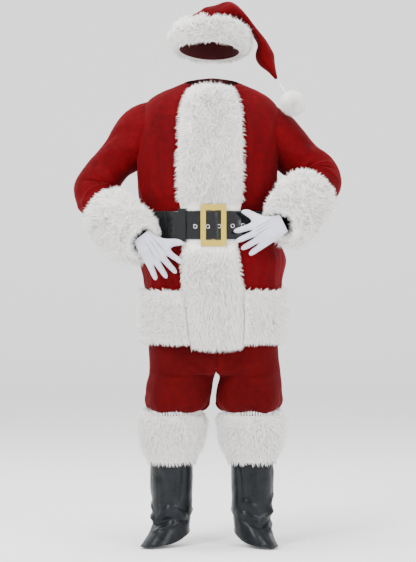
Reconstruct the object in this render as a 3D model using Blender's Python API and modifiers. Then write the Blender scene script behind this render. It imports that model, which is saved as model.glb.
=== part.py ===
"""A Santa suit in the shape it has when worn, hollow, with its hands on the hips.

Hat, fur-trimmed velvet jacket, patent belt, velvet trousers, cloth gloves and
boot covers. Metres, +Z up, the front faces -Y. The origin is at the base of
the neck. "Right" is the suit's own right side, at -X.
"""
import math
from collections import namedtuple

import bmesh
import bpy
from mathutils import Matrix, Vector

# Walls and gaps
SEAM_GAP = 0.0003
FUR_SEAT = 0.0006
THINNEST_FUR = 0.0015
VELVET = 0.002
VINYL = 0.0015
GLOVE_CLOTH = 0.0012
HALF_TURN = math.pi
FULL_TURN = 2 * math.pi

# Torso rings, top to bottom: half sizes to the side, front and back of a line
# that stands shift to the left of the middle. The front of a ring lies dip lower.
Ring = namedtuple("Ring", "height side front back shift dip")
TORSO = [
    Ring(height=0.024, side=0.086, front=0.076, back=0.070, shift=-0.004, dip=0.020),
    Ring(height=0.012, side=0.118, front=0.090, back=0.084, shift=-0.005, dip=0.016),
    Ring(height=-0.008, side=0.165, front=0.108, back=0.098, shift=-0.006, dip=0.010),
    Ring(height=-0.036, side=0.206, front=0.128, back=0.110, shift=-0.008, dip=0.006),
    Ring(height=-0.080, side=0.232, front=0.148, back=0.124, shift=-0.010, dip=0.002),
    Ring(height=-0.145, side=0.241, front=0.168, back=0.136, shift=-0.013, dip=0.0),
    Ring(height=-0.215, side=0.237, front=0.180, back=0.143, shift=-0.016, dip=0.0),
    Ring(height=-0.290, side=0.232, front=0.190, back=0.146, shift=-0.018, dip=0.0),
    Ring(height=-0.350, side=0.231, front=0.194, back=0.145, shift=-0.016, dip=0.0),
    Ring(height=-0.400, side=0.226, front=0.190, back=0.141, shift=-0.012, dip=0.0),
    Ring(height=-0.450, side=0.222, front=0.187, back=0.139, shift=-0.008, dip=0.0),
    Ring(height=-0.500, side=0.228, front=0.191, back=0.142, shift=-0.005, dip=0.0),
    Ring(height=-0.560, side=0.242, front=0.201, back=0.150, shift=-0.003, dip=0.0),
    Ring(height=-0.620, side=0.230, front=0.200, back=0.150, shift=0.0, dip=0.0),
    Ring(height=-0.665, side=0.226, front=0.198, back=0.150, shift=0.0, dip=0.0),
    Ring(height=-0.740, side=0.223, front=0.197, back=0.150, shift=0.0, dip=0.0),
    Ring(height=-0.815, side=0.220, front=0.194, back=0.148, shift=0.0, dip=0.0),
    Ring(height=-0.850, side=0.217, front=0.190, back=0.146, shift=0.0, dip=0.0),
]
TORSO_SQUARENESS = 2.3
SIDE_SEAM = math.radians(95)
PANEL_GAP_TURN = SEAM_GAP / 2 / TORSO[7].front
HEM_JOIN_TURN = PANEL_GAP_TURN * 2
HEM_ROW = 16
FRONT_CELLS = 10
BACK_CELLS = 18

# Soft folds of the jacket: where each lies, how far it spreads and how high it stands
Fold = namedtuple("Fold", "turn row turn_spread row_spread height")
JACKET_FOLDS = [
    Fold(turn=-1.15, row=6.5, turn_spread=0.16, row_spread=1.6, height=0.007),
    Fold(turn=-0.80, row=6.0, turn_spread=0.14, row_spread=1.4, height=-0.005),
    Fold(turn=1.10, row=6.2, turn_spread=0.15, row_spread=1.5, height=0.006),
    Fold(turn=0.78, row=6.0, turn_spread=0.14, row_spread=1.2, height=-0.005),
    Fold(turn=2.30, row=7.0, turn_spread=0.20, row_spread=2.0, height=0.007),
    Fold(turn=-2.40, row=7.4, turn_spread=0.20, row_spread=1.8, height=0.006),
    Fold(turn=3.05, row=5.5, turn_spread=0.22, row_spread=1.6, height=0.005),
    Fold(turn=-0.62, row=12.0, turn_spread=0.16, row_spread=0.9, height=0.005),
    Fold(turn=0.70, row=12.1, turn_spread=0.15, row_spread=0.9, height=0.005),
    Fold(turn=1.75, row=12.0, turn_spread=0.18, row_spread=1.0, height=0.005),
    Fold(turn=-1.90, row=12.1, turn_spread=0.18, row_spread=1.0, height=0.005),
    Fold(turn=2.70, row=12.0, turn_spread=0.18, row_spread=1.0, height=0.006),
]

# Tubes such as sleeves and the hat's crown: a middle line and three half sizes,
# away from the body, towards it, and front to back
Station = namedtuple("Station", "x y z outer inner depth")
SLEEVE_RIGHT = [
    Station(x=-0.160, y=0.005, z=-0.125, outer=0.098, inner=0.098, depth=0.092),
    Station(x=-0.235, y=0.008, z=-0.160, outer=0.104, inner=0.086, depth=0.088),
    Station(x=-0.307, y=0.010, z=-0.218, outer=0.071, inner=0.067, depth=0.076),
    Station(x=-0.360, y=0.008, z=-0.280, outer=0.068, inner=0.067, depth=0.074),
    Station(x=-0.384, y=0.000, z=-0.335, outer=0.079, inner=0.072, depth=0.074),
    Station(x=-0.372, y=-0.030, z=-0.380, outer=0.066, inner=0.070, depth=0.072),
    Station(x=-0.342, y=-0.075, z=-0.412, outer=0.072, inner=0.070, depth=0.070),
    Station(x=-0.293, y=-0.146, z=-0.452, outer=0.068, inner=0.062, depth=0.062),
    Station(x=-0.237, y=-0.211, z=-0.492, outer=0.058, inner=0.054, depth=0.054),
    Station(x=-0.181, y=-0.276, z=-0.532, outer=0.052, inner=0.050, depth=0.048),
]
SLEEVE_LEFT = [
    Station(x=0.148, y=0.005, z=-0.130, outer=0.098, inner=0.098, depth=0.092),
    Station(x=0.215, y=0.008, z=-0.170, outer=0.092, inner=0.084, depth=0.088),
    Station(x=0.290, y=0.008, z=-0.229, outer=0.070, inner=0.070, depth=0.076),
    Station(x=0.334, y=0.002, z=-0.270, outer=0.074, inner=0.070, depth=0.074),
    Station(x=0.346, y=-0.015, z=-0.302, outer=0.080, inner=0.072, depth=0.074),
    Station(x=0.336, y=-0.045, z=-0.328, outer=0.076, inner=0.072, depth=0.072),
    Station(x=0.315, y=-0.082, z=-0.350, outer=0.076, inner=0.072, depth=0.070),
    Station(x=0.273, y=-0.150, z=-0.395, outer=0.070, inner=0.066, depth=0.064),
    Station(x=0.228, y=-0.214, z=-0.440, outer=0.058, inner=0.056, depth=0.054),
    Station(x=0.183, y=-0.278, z=-0.485, outer=0.052, inner=0.050, depth=0.048),
]
SLEEVE_FOLDS = [
    Fold(turn=3.2, row=1.9, turn_spread=0.8, row_spread=0.35, height=0.006),
    Fold(turn=4.0, row=3.9, turn_spread=0.6, row_spread=0.30, height=0.006),
    Fold(turn=2.6, row=4.5, turn_spread=0.6, row_spread=0.28, height=0.005),
    Fold(turn=5.2, row=2.8, turn_spread=0.5, row_spread=0.50, height=-0.004),
]
SLEEVE_CELLS = 16
SLEEVE_ROWS = [0.0, 0.7, 1.4, 2.0, 2.6, 3.2, 3.8, 4.3, 4.8, 5.3, 5.9, 6.6, 7.3, 8.0]
ARMHOLE_DEPTH = 2
BODY_CORE_ROWS = 12

# Cuffs of fur: how far the pile stands out along the sleeve, less next to the body
Pile = namedtuple("Pile", "row out")
CUFF_PILE = [
    Pile(row=5.90, out=0.009),
    Pile(row=6.08, out=0.028),
    Pile(row=6.60, out=0.037),
    Pile(row=7.30, out=0.042),
    Pile(row=8.00, out=0.040),
    Pile(row=8.22, out=0.017),
]
CUFF_PRESSED_TURN = math.radians(132)
CUFF_PRESSED_SHARE = 0.60

# Front placket of fur, over the front opening: its edges at the torso's rows
Strip = namedtuple("Strip", "row right left out")
PLACKET = [
    Strip(row=1.0, right=-0.062, left=0.054, out=0.010),
    Strip(row=2.0, right=-0.080, left=0.070, out=0.020),
    Strip(row=3.0, right=-0.092, left=0.080, out=0.024),
    Strip(row=4.0, right=-0.104, left=0.090, out=0.024),
    Strip(row=5.0, right=-0.111, left=0.094, out=0.025),
    Strip(row=6.0, right=-0.113, left=0.095, out=0.026),
    Strip(row=7.0, right=-0.113, left=0.095, out=0.026),
    Strip(row=8.0, right=-0.111, left=0.093, out=0.023),
    Strip(row=8.3, right=-0.110, left=0.092, out=0.018),
    Strip(row=8.7, right=-0.107, left=0.090, out=0.007),
    Strip(row=9.0, right=-0.105, left=0.088, out=0.004),
    Strip(row=10.0, right=-0.103, left=0.084, out=0.004),
    Strip(row=11.0, right=-0.101, left=0.081, out=0.004),
    Strip(row=11.3, right=-0.100, left=0.080, out=0.007),
    Strip(row=11.7, right=-0.100, left=0.080, out=0.018),
    Strip(row=12.0, right=-0.100, left=0.080, out=0.023),
    Strip(row=13.0, right=-0.097, left=0.088, out=0.027),
    Strip(row=14.0, right=-0.093, left=0.096, out=0.028),
    Strip(row=15.0, right=-0.086, left=0.100, out=0.028),
    Strip(row=16.0, right=-0.078, left=0.097, out=0.026),
    Strip(row=16.4, right=-0.073, left=0.094, out=0.021),
    Strip(row=16.8, right=-0.066, left=0.090, out=0.010),
]
PLACKET_SIDE_CELLS = 4
PLACKET_EDGE_SHARE = [0.10, 0.62, 0.92, 1.0, 1.0, 1.0, 0.92, 0.62, 0.10]

# Hem band of fur, on the torso's rows
HEM_PILE = [
    Pile(row=14.0, out=0.012),
    Pile(row=14.4, out=0.021),
    Pile(row=15.0, out=0.024),
    Pile(row=16.0, out=0.021),
    Pile(row=16.4, out=0.007),
]

# Belt: one long strap, both its ends lapped at the front, threaded through the buckle
BELT_MIDDLE = -0.4515
BELT_TALL = 0.094
STRAP_THICK = 0.003
LAYER_GAP = 0.0006
STRAP_STARTS_PAST_BAR = math.radians(3)
STRAP_NEARS_BUCKLE = math.radians(342)
STRAP_ENDS_PAST_START = math.radians(402)
STRAP_LONG_CELLS = 40
STRAP_FRONT_CELLS = 20
BELT_CLEAR = 0.0008
BELT_PRESSES_ROWS = 1.1
BELT_OVER_PLACKET = 0.0052
PLACKET_LIES = math.radians(36)
PLACKET_FADES = math.radians(14)
BAR_LIFT = 0.0042
BAR_HALF_TURN = math.radians(4.2)
BUCKLE_MIDDLE = 0.001
BUCKLE_WIDE = 0.083
BUCKLE_TALL = 0.136
WINDOW_WIDE = 0.049
WINDOW_TALL = 0.097
BUCKLE_THICK = 0.0045
BAR_WIDE = 0.008
BAR_THICK = 0.0025
KEEPER_MIDDLE = -0.0960
KEEPER_WIDE = 0.026
KEEPER_TALL = 0.111
KEEPER_THICK = 0.003
KEEPER_ROOM = 0.0010

# Trouser legs: x of the outer and inner outline, half depths, and how far the ring
# has closed round the inside of the leg, from 0 above the crotch to 1
Leg = namedtuple("Leg", "height outer inner front back ahead closed")
TROUSERS_MIDDLE = 0.010
LEG_RIGHT = [
    Leg(height=-0.540, outer=-0.190, inner=0.010, front=0.160, back=0.120, ahead=0.0, closed=0.0),
    Leg(height=-0.620, outer=-0.200, inner=0.010, front=0.165, back=0.130, ahead=0.0, closed=0.0),
    Leg(height=-0.720, outer=-0.208, inner=0.010, front=0.165, back=0.135, ahead=0.0, closed=0.0),
    Leg(height=-0.820, outer=-0.213, inner=0.010, front=0.158, back=0.134, ahead=0.0, closed=0.0),
    Leg(height=-0.880, outer=-0.213, inner=0.010, front=0.150, back=0.130, ahead=0.0, closed=0.0),
    Leg(height=-0.926, outer=-0.212, inner=0.010, front=0.140, back=0.126, ahead=0.0, closed=0.0),
    Leg(height=-0.948, outer=-0.213, inner=0.003, front=0.134, back=0.124, ahead=0.0, closed=0.8),
    Leg(height=-0.985, outer=-0.223, inner=-0.003, front=0.128, back=0.122, ahead=0.0, closed=1.0),
    Leg(height=-1.030, outer=-0.223, inner=-0.010, front=0.122, back=0.116, ahead=0.0, closed=1.0),
    Leg(height=-1.056, outer=-0.215, inner=-0.026, front=0.104, back=0.100, ahead=0.0, closed=1.0),
    Leg(height=-1.073, outer=-0.208, inner=-0.060, front=0.074, back=0.074, ahead=0.0, closed=1.0),
    Leg(height=-1.100, outer=-0.201, inner=-0.071, front=0.064, back=0.064, ahead=0.0, closed=1.0),
    Leg(height=-1.150, outer=-0.192, inner=-0.080, front=0.056, back=0.056, ahead=0.0, closed=1.0),
]
LEG_LEFT = [
    Leg(height=-0.540, outer=0.200, inner=0.010, front=0.160, back=0.120, ahead=0.0, closed=0.0),
    Leg(height=-0.620, outer=0.206, inner=0.010, front=0.165, back=0.130, ahead=0.0, closed=0.0),
    Leg(height=-0.720, outer=0.210, inner=0.010, front=0.165, back=0.135, ahead=0.0, closed=0.0),
    Leg(height=-0.820, outer=0.213, inner=0.010, front=0.158, back=0.134, ahead=0.0, closed=0.0),
    Leg(height=-0.880, outer=0.218, inner=0.010, front=0.150, back=0.130, ahead=0.0, closed=0.0),
    Leg(height=-0.926, outer=0.223, inner=0.010, front=0.140, back=0.126, ahead=0.0, closed=0.0),
    Leg(height=-0.948, outer=0.225, inner=0.022, front=0.134, back=0.124, ahead=0.0, closed=0.8),
    Leg(height=-0.985, outer=0.228, inner=0.014, front=0.128, back=0.122, ahead=0.0, closed=1.0),
    Leg(height=-1.030, outer=0.229, inner=0.010, front=0.122, back=0.116, ahead=0.0, closed=1.0),
    Leg(height=-1.056, outer=0.218, inner=0.022, front=0.104, back=0.100, ahead=0.0, closed=1.0),
    Leg(height=-1.073, outer=0.204, inner=0.055, front=0.074, back=0.074, ahead=0.0, closed=1.0),
    Leg(height=-1.100, outer=0.194, inner=0.065, front=0.064, back=0.064, ahead=0.0, closed=1.0),
    Leg(height=-1.150, outer=0.186, inner=0.073, front=0.056, back=0.056, ahead=0.0, closed=1.0),
]
LEG_OUTER_CELLS = 14
LEG_INNER_CELLS = 6
LEG_OPENS_AT = math.radians(60)
CROTCH_ROW = 5
LEG_FOLDS = [
    Fold(turn=1.0, row=8.6, turn_spread=0.35, row_spread=0.8, height=0.006),
    Fold(turn=2.1, row=8.4, turn_spread=0.30, row_spread=0.9, height=0.007),
    Fold(turn=0.2, row=7.8, turn_spread=0.30, row_spread=1.2, height=0.005),
    Fold(turn=2.8, row=7.6, turn_spread=0.30, row_spread=1.2, height=0.006),
]
WAISTBAND_TOP = -0.500
WAISTBAND_BOTTOM = -0.5397
WAISTBAND_CELLS = 24

# Boot covers, drawn about the ankle and turned outwards with the foot
BOOT = [
    Ring(height=-1.088, side=0.086, front=0.086, back=0.086, shift=0.0, dip=0.0),
    Ring(height=-1.130, side=0.079, front=0.080, back=0.079, shift=0.0, dip=0.0),
    Ring(height=-1.180, side=0.072, front=0.073, back=0.072, shift=0.0, dip=0.0),
    Ring(height=-1.232, side=0.069, front=0.070, back=0.069, shift=0.0, dip=0.0),
    Ring(height=-1.300, side=0.068, front=0.068, back=0.068, shift=0.0, dip=0.0),
    Ring(height=-1.355, side=0.066, front=0.066, back=0.066, shift=0.0, dip=0.0),
    Ring(height=-1.395, side=0.065, front=0.064, back=0.063, shift=0.0, dip=0.002),
    Ring(height=-1.422, side=0.061, front=0.065, back=0.060, shift=0.0, dip=0.006),
    Ring(height=-1.443, side=0.058, front=0.078, back=0.059, shift=0.0, dip=0.010),
    Ring(height=-1.460, side=0.056, front=0.100, back=0.060, shift=0.0, dip=0.015),
    Ring(height=-1.474, side=0.055, front=0.124, back=0.062, shift=0.0, dip=0.020),
    Ring(height=-1.482, side=0.054, front=0.140, back=0.063, shift=0.0, dip=0.022),
]
BOOT_SQUARENESS = 2.15
BOOT_CELLS = 9
BOOT_FOLDS = [
    Fold(turn=0.65, row=6.0, turn_spread=0.42, row_spread=0.55, height=0.006),
    Fold(turn=-0.55, row=6.8, turn_spread=0.40, row_spread=0.50, height=0.005),
    Fold(turn=0.10, row=7.1, turn_spread=0.40, row_spread=0.45, height=-0.004),
    Fold(turn=2.50, row=6.6, turn_spread=0.45, row_spread=0.50, height=0.003),
    Fold(turn=-2.40, row=5.9, turn_spread=0.45, row_spread=0.60, height=0.003),
]
Foot = namedtuple("Foot", "x y outwards")
FOOT_RIGHT = Foot(x=-0.136, y=0.0, outwards=math.radians(-42))
FOOT_LEFT = Foot(x=0.129, y=0.0, outwards=math.radians(30))
BOOT_TOP_PILE = [
    Pile(row=-0.30, out=0.015),
    Pile(row=0.00, out=0.026),
    Pile(row=1.00, out=0.029),
    Pile(row=2.00, out=0.024),
    Pile(row=3.00, out=0.006),
]

# Hat: the crown stands on the head, folds over and hangs to the left
CROWN = [
    Station(x=-0.012, y=0.010, z=0.138, outer=0.099, inner=0.099, depth=0.110),
    Station(x=-0.010, y=0.016, z=0.173, outer=0.098, inner=0.098, depth=0.108),
    Station(x=-0.009, y=0.024, z=0.206, outer=0.088, inner=0.097, depth=0.104),
    Station(x=0.008, y=0.034, z=0.241, outer=0.038, inner=0.070, depth=0.092),
    Station(x=0.054, y=0.042, z=0.261, outer=0.034, inner=0.028, depth=0.080),
    Station(x=0.100, y=0.048, z=0.245, outer=0.013, inner=0.016, depth=0.068),
    Station(x=0.134, y=0.052, z=0.204, outer=0.012, inner=0.010, depth=0.062),
    Station(x=0.165, y=0.051, z=0.158, outer=0.017, inner=0.018, depth=0.056),
    Station(x=0.175, y=0.046, z=0.112, outer=0.030, inner=0.032, depth=0.044),
    Station(x=0.197, y=0.038, z=0.068, outer=0.014, inner=0.014, depth=0.024),
    Station(x=0.211, y=0.030, z=0.040, outer=0.005, inner=0.005, depth=0.006),
]
CROWN_CELLS = 16
CROWN_ROWS = [
    0.0, 0.6, 1.3, 1.8, 2.4, 3.0, 3.6, 4.2, 5.0, 5.7, 6.4, 7.2, 8.0, 8.6, 9.3, 10.0,
]
CROWN_POINT = 0.010
BRIM_PILE = [
    Pile(row=-0.28, out=0.012),
    Pile(row=0.00, out=0.034),
    Pile(row=0.60, out=0.043),
    Pile(row=1.30, out=0.042),
    Pile(row=1.80, out=0.028),
]
POMPOM_MIDDLE = Vector((0.262, -0.066, -0.050))
POMPOM_RADIUS = 0.0415
TIE_RADIUS = 0.0025

# Gloves, drawn flat and then laid against the jacket
Finger = namedtuple("Finger", "spread length curl")
FINGERS = [
    Finger(spread=math.radians(17), length=0.072, curl=math.radians(7)),
    Finger(spread=math.radians(4), length=0.082, curl=math.radians(8)),
    Finger(spread=math.radians(-5), length=0.076, curl=math.radians(9)),
    Finger(spread=math.radians(-15), length=0.060, curl=math.radians(10)),
]
THUMB = Finger(spread=math.radians(56), length=0.068, curl=math.radians(5))
PALM_LONG = 0.090
PALM_HALF_WIDE = 0.045
PALM_HALF_THICK = 0.014
WRIST_HALF_WIDE = 0.031
WRIST_HALF_THICK = 0.023
THUMB_BASE_STARTS = 0.38
FINGER_NARROWS = 1.0
FINGER_TIP = 0.84
Hand = namedtuple("Hand", "wrist ahead thumbwards splay")
HAND_RIGHT = Hand(
    wrist=Vector((-0.232, -0.223, -0.486)),
    ahead=Vector((0.100, 0.004, -0.130)),
    thumbwards=Vector((0.78, 0.0, 0.62)),
    splay=1.0,
)
HAND_LEFT = Hand(
    wrist=Vector((0.226, -0.234, -0.445)),
    ahead=Vector((-0.150, 0.0, -0.074)),
    thumbwards=Vector((-0.44, 0.0, 0.90)),
    splay=0.6,
)

# Colours, roughness and metallic value of each finish
Finish = namedtuple("Finish", "colour roughness metallic")
FINISHES = {
    "jacket_velvet": Finish(colour=(0.30, 0.006, 0.012), roughness=0.85, metallic=0.0),
    "trouser_velvet": Finish(colour=(0.19, 0.005, 0.009), roughness=0.88, metallic=0.0),
    "white_fur": Finish(colour=(0.86, 0.85, 0.80), roughness=0.95, metallic=0.0),
    "black_patent": Finish(colour=(0.008, 0.009, 0.011), roughness=0.16, metallic=0.0),
    "black_vinyl": Finish(colour=(0.016, 0.018, 0.020), roughness=0.38, metallic=0.0),
    "buckle_brass": Finish(colour=(0.83, 0.66, 0.24), roughness=0.28, metallic=1.0),
    "white_cotton": Finish(colour=(0.80, 0.80, 0.86), roughness=0.90, metallic=0.0),
}

TINY_STEP = 0.02


def clear_scene():
    for thing in list(bpy.data.objects):
        bpy.data.objects.remove(thing)


def new_collection(name):
    group = bpy.data.collections.new(name)
    bpy.context.scene.collection.children.link(group)
    return group


def make_finish(name):
    finish = FINISHES[name]
    material = bpy.data.materials.new(name)
    material.use_nodes = True
    shader = material.node_tree.nodes["Principled BSDF"]
    shader.inputs["Base Color"].default_value = (*finish.colour, 1.0)
    shader.inputs["Roughness"].default_value = finish.roughness
    shader.inputs["Metallic"].default_value = finish.metallic
    return material


def add_object(mesh, name, finish):
    """Makes an object of a bmesh and gives it its finish."""
    data = bpy.data.meshes.new(name)
    mesh.to_mesh(data)
    mesh.free()
    data.shade_smooth()
    thing = bpy.data.objects.new(name, data)
    if finish in MATERIALS:
        data.materials.append(MATERIALS[finish])
        SUIT.objects.link(thing)
    else:
        thing.hide_render = True
        thing.display_type = "WIRE"
        CUTTERS.objects.link(thing)
    return thing


def mix(start, end, share):
    return start + (end - start) * share


def curve_value(before, start, end, after, t):
    """A smooth curve through start and end, shaped by their neighbours."""
    return 0.5 * (
        2 * start
        + (end - before) * t
        + (2 * before - 5 * start + 4 * end - after) * t * t
        + (3 * start - before - 3 * end + after) * t * t * t
    )


def read_table(table, row):
    """Reads a table at a row number that may lie between two rows or past an end."""
    last = len(table) - 1
    k = max(0, min(int(math.floor(row)), last - 1))
    values = []
    for n, (start, end) in enumerate(zip(table[k], table[k + 1])):
        before = table[k - 1][n] if k > 0 else 2 * start - end
        after = table[k + 2][n] if k + 2 <= last else 2 * end - start
        values.append(curve_value(before, start, end, after, row - k))
    return type(table[0])(*values)


def row_at(table, height):
    """The row number at which a table that runs downwards reaches a height."""
    low, high = 0.0, float(len(table) - 1)
    for _ in range(40):
        middle = (low + high) / 2
        if read_table(table, middle).height > height:
            low = middle
        else:
            high = middle
    return low


def folds_height(folds, turn, row):
    """How far the folds lift the cloth at one place."""
    lift = 0.0
    for fold in folds:
        across = math.remainder(turn - fold.turn, FULL_TURN) / fold.turn_spread
        along = (row - fold.row) / fold.row_spread
        lift += fold.height * math.exp(-across * across - along * along)
    return lift


def polar_reach(turn, side, front, back, squareness):
    """The distance from a ring's middle to its outline; turn 0 is the front."""
    ahead = front if math.cos(turn) > 0 else back
    parts = abs(math.cos(turn) / ahead) ** squareness + abs(math.sin(turn) / side) ** squareness
    return parts ** (-1 / squareness)


class Surface:
    """The outside of a garment: a point for each turn round it and row down it."""

    def __init__(self, place, middle, folds=(), slack=None):
        self.place = place
        self.middle = middle
        self.folds = folds
        self.slack = slack or (lambda row: 1.0)

    def at(self, turn, row, out=0.0):
        """The point that lies out metres off the surface."""
        here = self.place(turn, row)
        across = self.place(turn + TINY_STEP, row) - self.place(turn - TINY_STEP, row)
        down = self.place(turn, row + TINY_STEP) - self.place(turn, row - TINY_STEP)
        normal = across.cross(down).normalized()
        if normal.dot(here - self.middle(row)) < 0:
            normal.negate()
        return here + normal * (out + self.slack(row) * folds_height(self.folds, turn, row))


def slack_beside_belt(row):
    """The belt presses the jacket's folds flat: 0 under it, 1 a row away from it."""
    away = abs(row - row_at(TORSO, BELT_MIDDLE)) - BELT_PRESSES_ROWS
    return max(0.0, min(1.0, away))


def ring_surface(table, squareness, folds=(), foot=None, slack=None):
    """A surface through rings such as the torso's, or a boot's turned with its foot."""
    base = Vector((foot.x, foot.y, 0)) if foot else Vector((0, 0, 0))
    turned = Matrix.Rotation(foot.outwards if foot else 0.0, 3, "Z")

    def middle(row):
        ring = read_table(table, row)
        return base + Vector((ring.shift, 0, ring.height))

    def place(turn, row):
        ring = read_table(table, row)
        reach = polar_reach(turn, ring.side, ring.front, ring.back, squareness)
        x, y = reach * math.sin(turn), -reach * math.cos(turn)
        return middle(row) + turned @ Vector((x, y, -ring.dip * math.cos(turn)))

    return Surface(place, middle, folds, slack)


def tube_surface(table, side, folds=()):
    """A surface round a bent tube; turn 0 is its outer side, a quarter turn its back."""

    def middle(row):
        station = read_table(table, row)
        return Vector((station.x, station.y, station.z))

    def place(turn, row):
        station = read_table(table, row)
        ahead = (middle(row + TINY_STEP) - middle(row - TINY_STEP)).normalized()
        backwards = Vector((0, 1, 0)) - ahead * ahead.y
        backwards.normalize()
        outwards = backwards.cross(ahead) * side
        width = station.outer if math.cos(turn) > 0 else station.inner
        reach = polar_reach(turn, station.depth, width, width, 2.0)
        return middle(row) + outwards * reach * math.cos(turn) + backwards * reach * math.sin(turn)

    return Surface(place, middle, folds)


def leg_surface(table, side, folds=()):
    """A trouser leg: half a hip ring with a straight inner side, closing into a tube.

    Turn runs from 0 at the centre front over the outside to half a turn at the
    centre back, and on to a full turn along the inside of the leg.
    """

    def middle(row):
        leg = read_table(table, row)
        return Vector(((leg.outer + leg.inner) / 2, leg.ahead, leg.height))

    def hip_point(leg, turn):
        centre = TROUSERS_MIDDLE + side * SEAM_GAP / 2
        if turn <= HALF_TURN:
            reach = polar_reach(turn, abs(leg.outer - centre), leg.front, leg.back, TORSO_SQUARENESS)
            return Vector((centre + side * reach * math.sin(turn), -reach * math.cos(turn), leg.height))
        share = (turn - HALF_TURN) / HALF_TURN
        return Vector((centre, mix(leg.back, -leg.front, share), leg.height))

    def leg_point(leg, turn):
        if turn <= HALF_TURN:
            angle = mix(-LEG_OPENS_AT, HALF_TURN + LEG_OPENS_AT, turn / HALF_TURN)
        else:
            angle = mix(HALF_TURN + LEG_OPENS_AT, FULL_TURN - LEG_OPENS_AT, turn / HALF_TURN - 1)
        half = abs(leg.outer - leg.inner) / 2
        reach = polar_reach(angle, half, leg.front, leg.back, 2.1)
        x = (leg.outer + leg.inner) / 2 + side * reach * math.sin(angle)
        return Vector((x, leg.ahead - reach * math.cos(angle), leg.height))

    def place(turn, row):
        leg = read_table(table, row)
        turn = turn % FULL_TURN
        return hip_point(leg, turn).lerp(leg_point(leg, turn), max(0.0, min(1.0, leg.closed)))

    return Surface(place, middle, folds)


def around(cells):
    return [FULL_TURN * i / cells for i in range(cells)]


def spread(start, end, cells):
    return [mix(start, end, i / cells) for i in range(cells + 1)]


def build_wall(outer, inner, wraps, keep=None, closed_tip=False):
    """One closed wall between two grids of points, open where cells are not kept.

    Every cell is split along the same diagonal, so that layers made from the same
    points lie evenly on each other.
    """
    columns = len(outer)
    rows = len(outer[0])
    cells_around = columns if wraps else columns - 1
    mesh = bmesh.new()
    skins = [[[mesh.verts.new(point) for point in column] for column in grid] for grid in (outer, inner)]
    kept = {
        (i, k)
        for i in range(cells_around)
        for k in range(rows - 1)
        if keep is None or keep(i, k)
    }
    for i, k in sorted(kept):
        j = (i + 1) % columns
        corners = [(i, k), (j, k), (j, k + 1), (i, k + 1)]
        for half in ((0, 1, 2), (0, 2, 3)):
            mesh.faces.new([skins[0][corners[n][0]][corners[n][1]] for n in half])
            mesh.faces.new([skins[1][corners[n][0]][corners[n][1]] for n in reversed(half)])
        before, after = (i - 1) % cells_around, (i + 1) % cells_around
        if not wraps:
            before, after = i - 1, i + 1
        neighbours = [(i, k - 1), (after, k), (i, k + 1), (before, k)]
        for edge, neighbour in enumerate(neighbours):
            if neighbour in kept or (closed_tip and neighbour == (i, rows - 1)):
                continue
            a, b = corners[edge], corners[(edge + 1) % 4]
            rim = [
                skins[0][b[0]][b[1]], skins[0][a[0]][a[1]],
                skins[1][a[0]][a[1]], skins[1][b[0]][b[1]],
            ]
            for half in ((0, 1, 2), (0, 2, 3)):
                mesh.faces.new([rim[n] for n in half])
    loose = [vert for vert in mesh.verts if not vert.link_faces]
    bmesh.ops.delete(mesh, geom=loose, context="VERTS")
    bmesh.ops.remove_doubles(mesh, verts=mesh.verts, dist=0.00001)
    bmesh.ops.recalc_face_normals(mesh, faces=mesh.faces)
    return mesh


def cloth_wall(surface, turns, rows, thick, wraps=False, keep=None):
    """A wall of even thickness whose outside lies on the surface."""
    outer = [[surface.at(turn, row) for row in rows] for turn in turns]
    inner = [[surface.at(turn, row, -thick) for row in rows] for turn in turns]
    return build_wall(outer, inner, wraps, keep)


def fur_ring(surface, turns, pile, height_share=None):
    """A closed band of fur that stands on a surface as high as its pile table says."""
    share = height_share or (lambda turn: 1.0)
    outer = [[surface.at(turn, spot.row, spot.out * share(turn)) for spot in pile] for turn in turns]
    inner = [[surface.at(turn, spot.row, FUR_SEAT) for spot in pile] for turn in turns]
    return build_wall(outer, inner, wraps=True)


def capped_core(columns):
    """A solid between columns of points that stand in a ring, used only to cut."""
    mesh = bmesh.new()
    lines = [[mesh.verts.new(point) for point in column] for column in columns]
    for before, after in zip(lines, lines[1:] + lines[:1]):
        for k in range(len(before) - 1):
            mesh.faces.new([before[k], after[k], after[k + 1]])
            mesh.faces.new([before[k], after[k + 1], before[k + 1]])
    mesh.faces.new([line[0] for line in lines])
    mesh.faces.new([line[-1] for line in lines])
    bmesh.ops.recalc_face_normals(mesh, faces=mesh.faces)
    return mesh


def cut_with(thing, cutter):
    cut = thing.modifiers.new("cut", "BOOLEAN")
    cut.operation = "DIFFERENCE"
    cut.solver = "MANIFOLD"
    cut.object = cutter


def join_with(thing, other):
    join = thing.modifiers.new("join", "BOOLEAN")
    join.operation = "UNION"
    join.solver = "EXACT"
    join.object = other


def turn_at(row, x):
    """The torso's turn at which its front passes a distance x from the middle."""
    ring = read_table(TORSO, row)
    across = abs(x - ring.shift) / ring.side
    ahead = ring.front * (1 - across ** TORSO_SQUARENESS) ** (1 / TORSO_SQUARENESS)
    return math.atan2(x - ring.shift, ahead)


def placket_edge(row, side):
    """The turn of the placket's edge on one side, straight between its rows."""
    for upper, lower in zip(PLACKET, PLACKET[1:]):
        if row <= lower.row:
            break
    share = max(0.0, (row - upper.row) / (lower.row - upper.row))
    if side < 0:
        return turn_at(row, mix(upper.right, lower.right, share))
    return turn_at(row, mix(upper.left, lower.left, share))


def front_turns(row, side):
    """The turns of a front panel's columns: the centre, the placket's edge, the side seam."""
    edge = placket_edge(row, side)
    turns = spread(0.0, edge, PLACKET_SIDE_CELLS)
    turns += spread(edge, side * SIDE_SEAM, FRONT_CELLS - PLACKET_SIDE_CELLS)[1:]
    seam = side * PANEL_GAP_TURN
    return [turns[0] + seam] + turns[1:-1] + [turns[-1] - seam]


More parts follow.
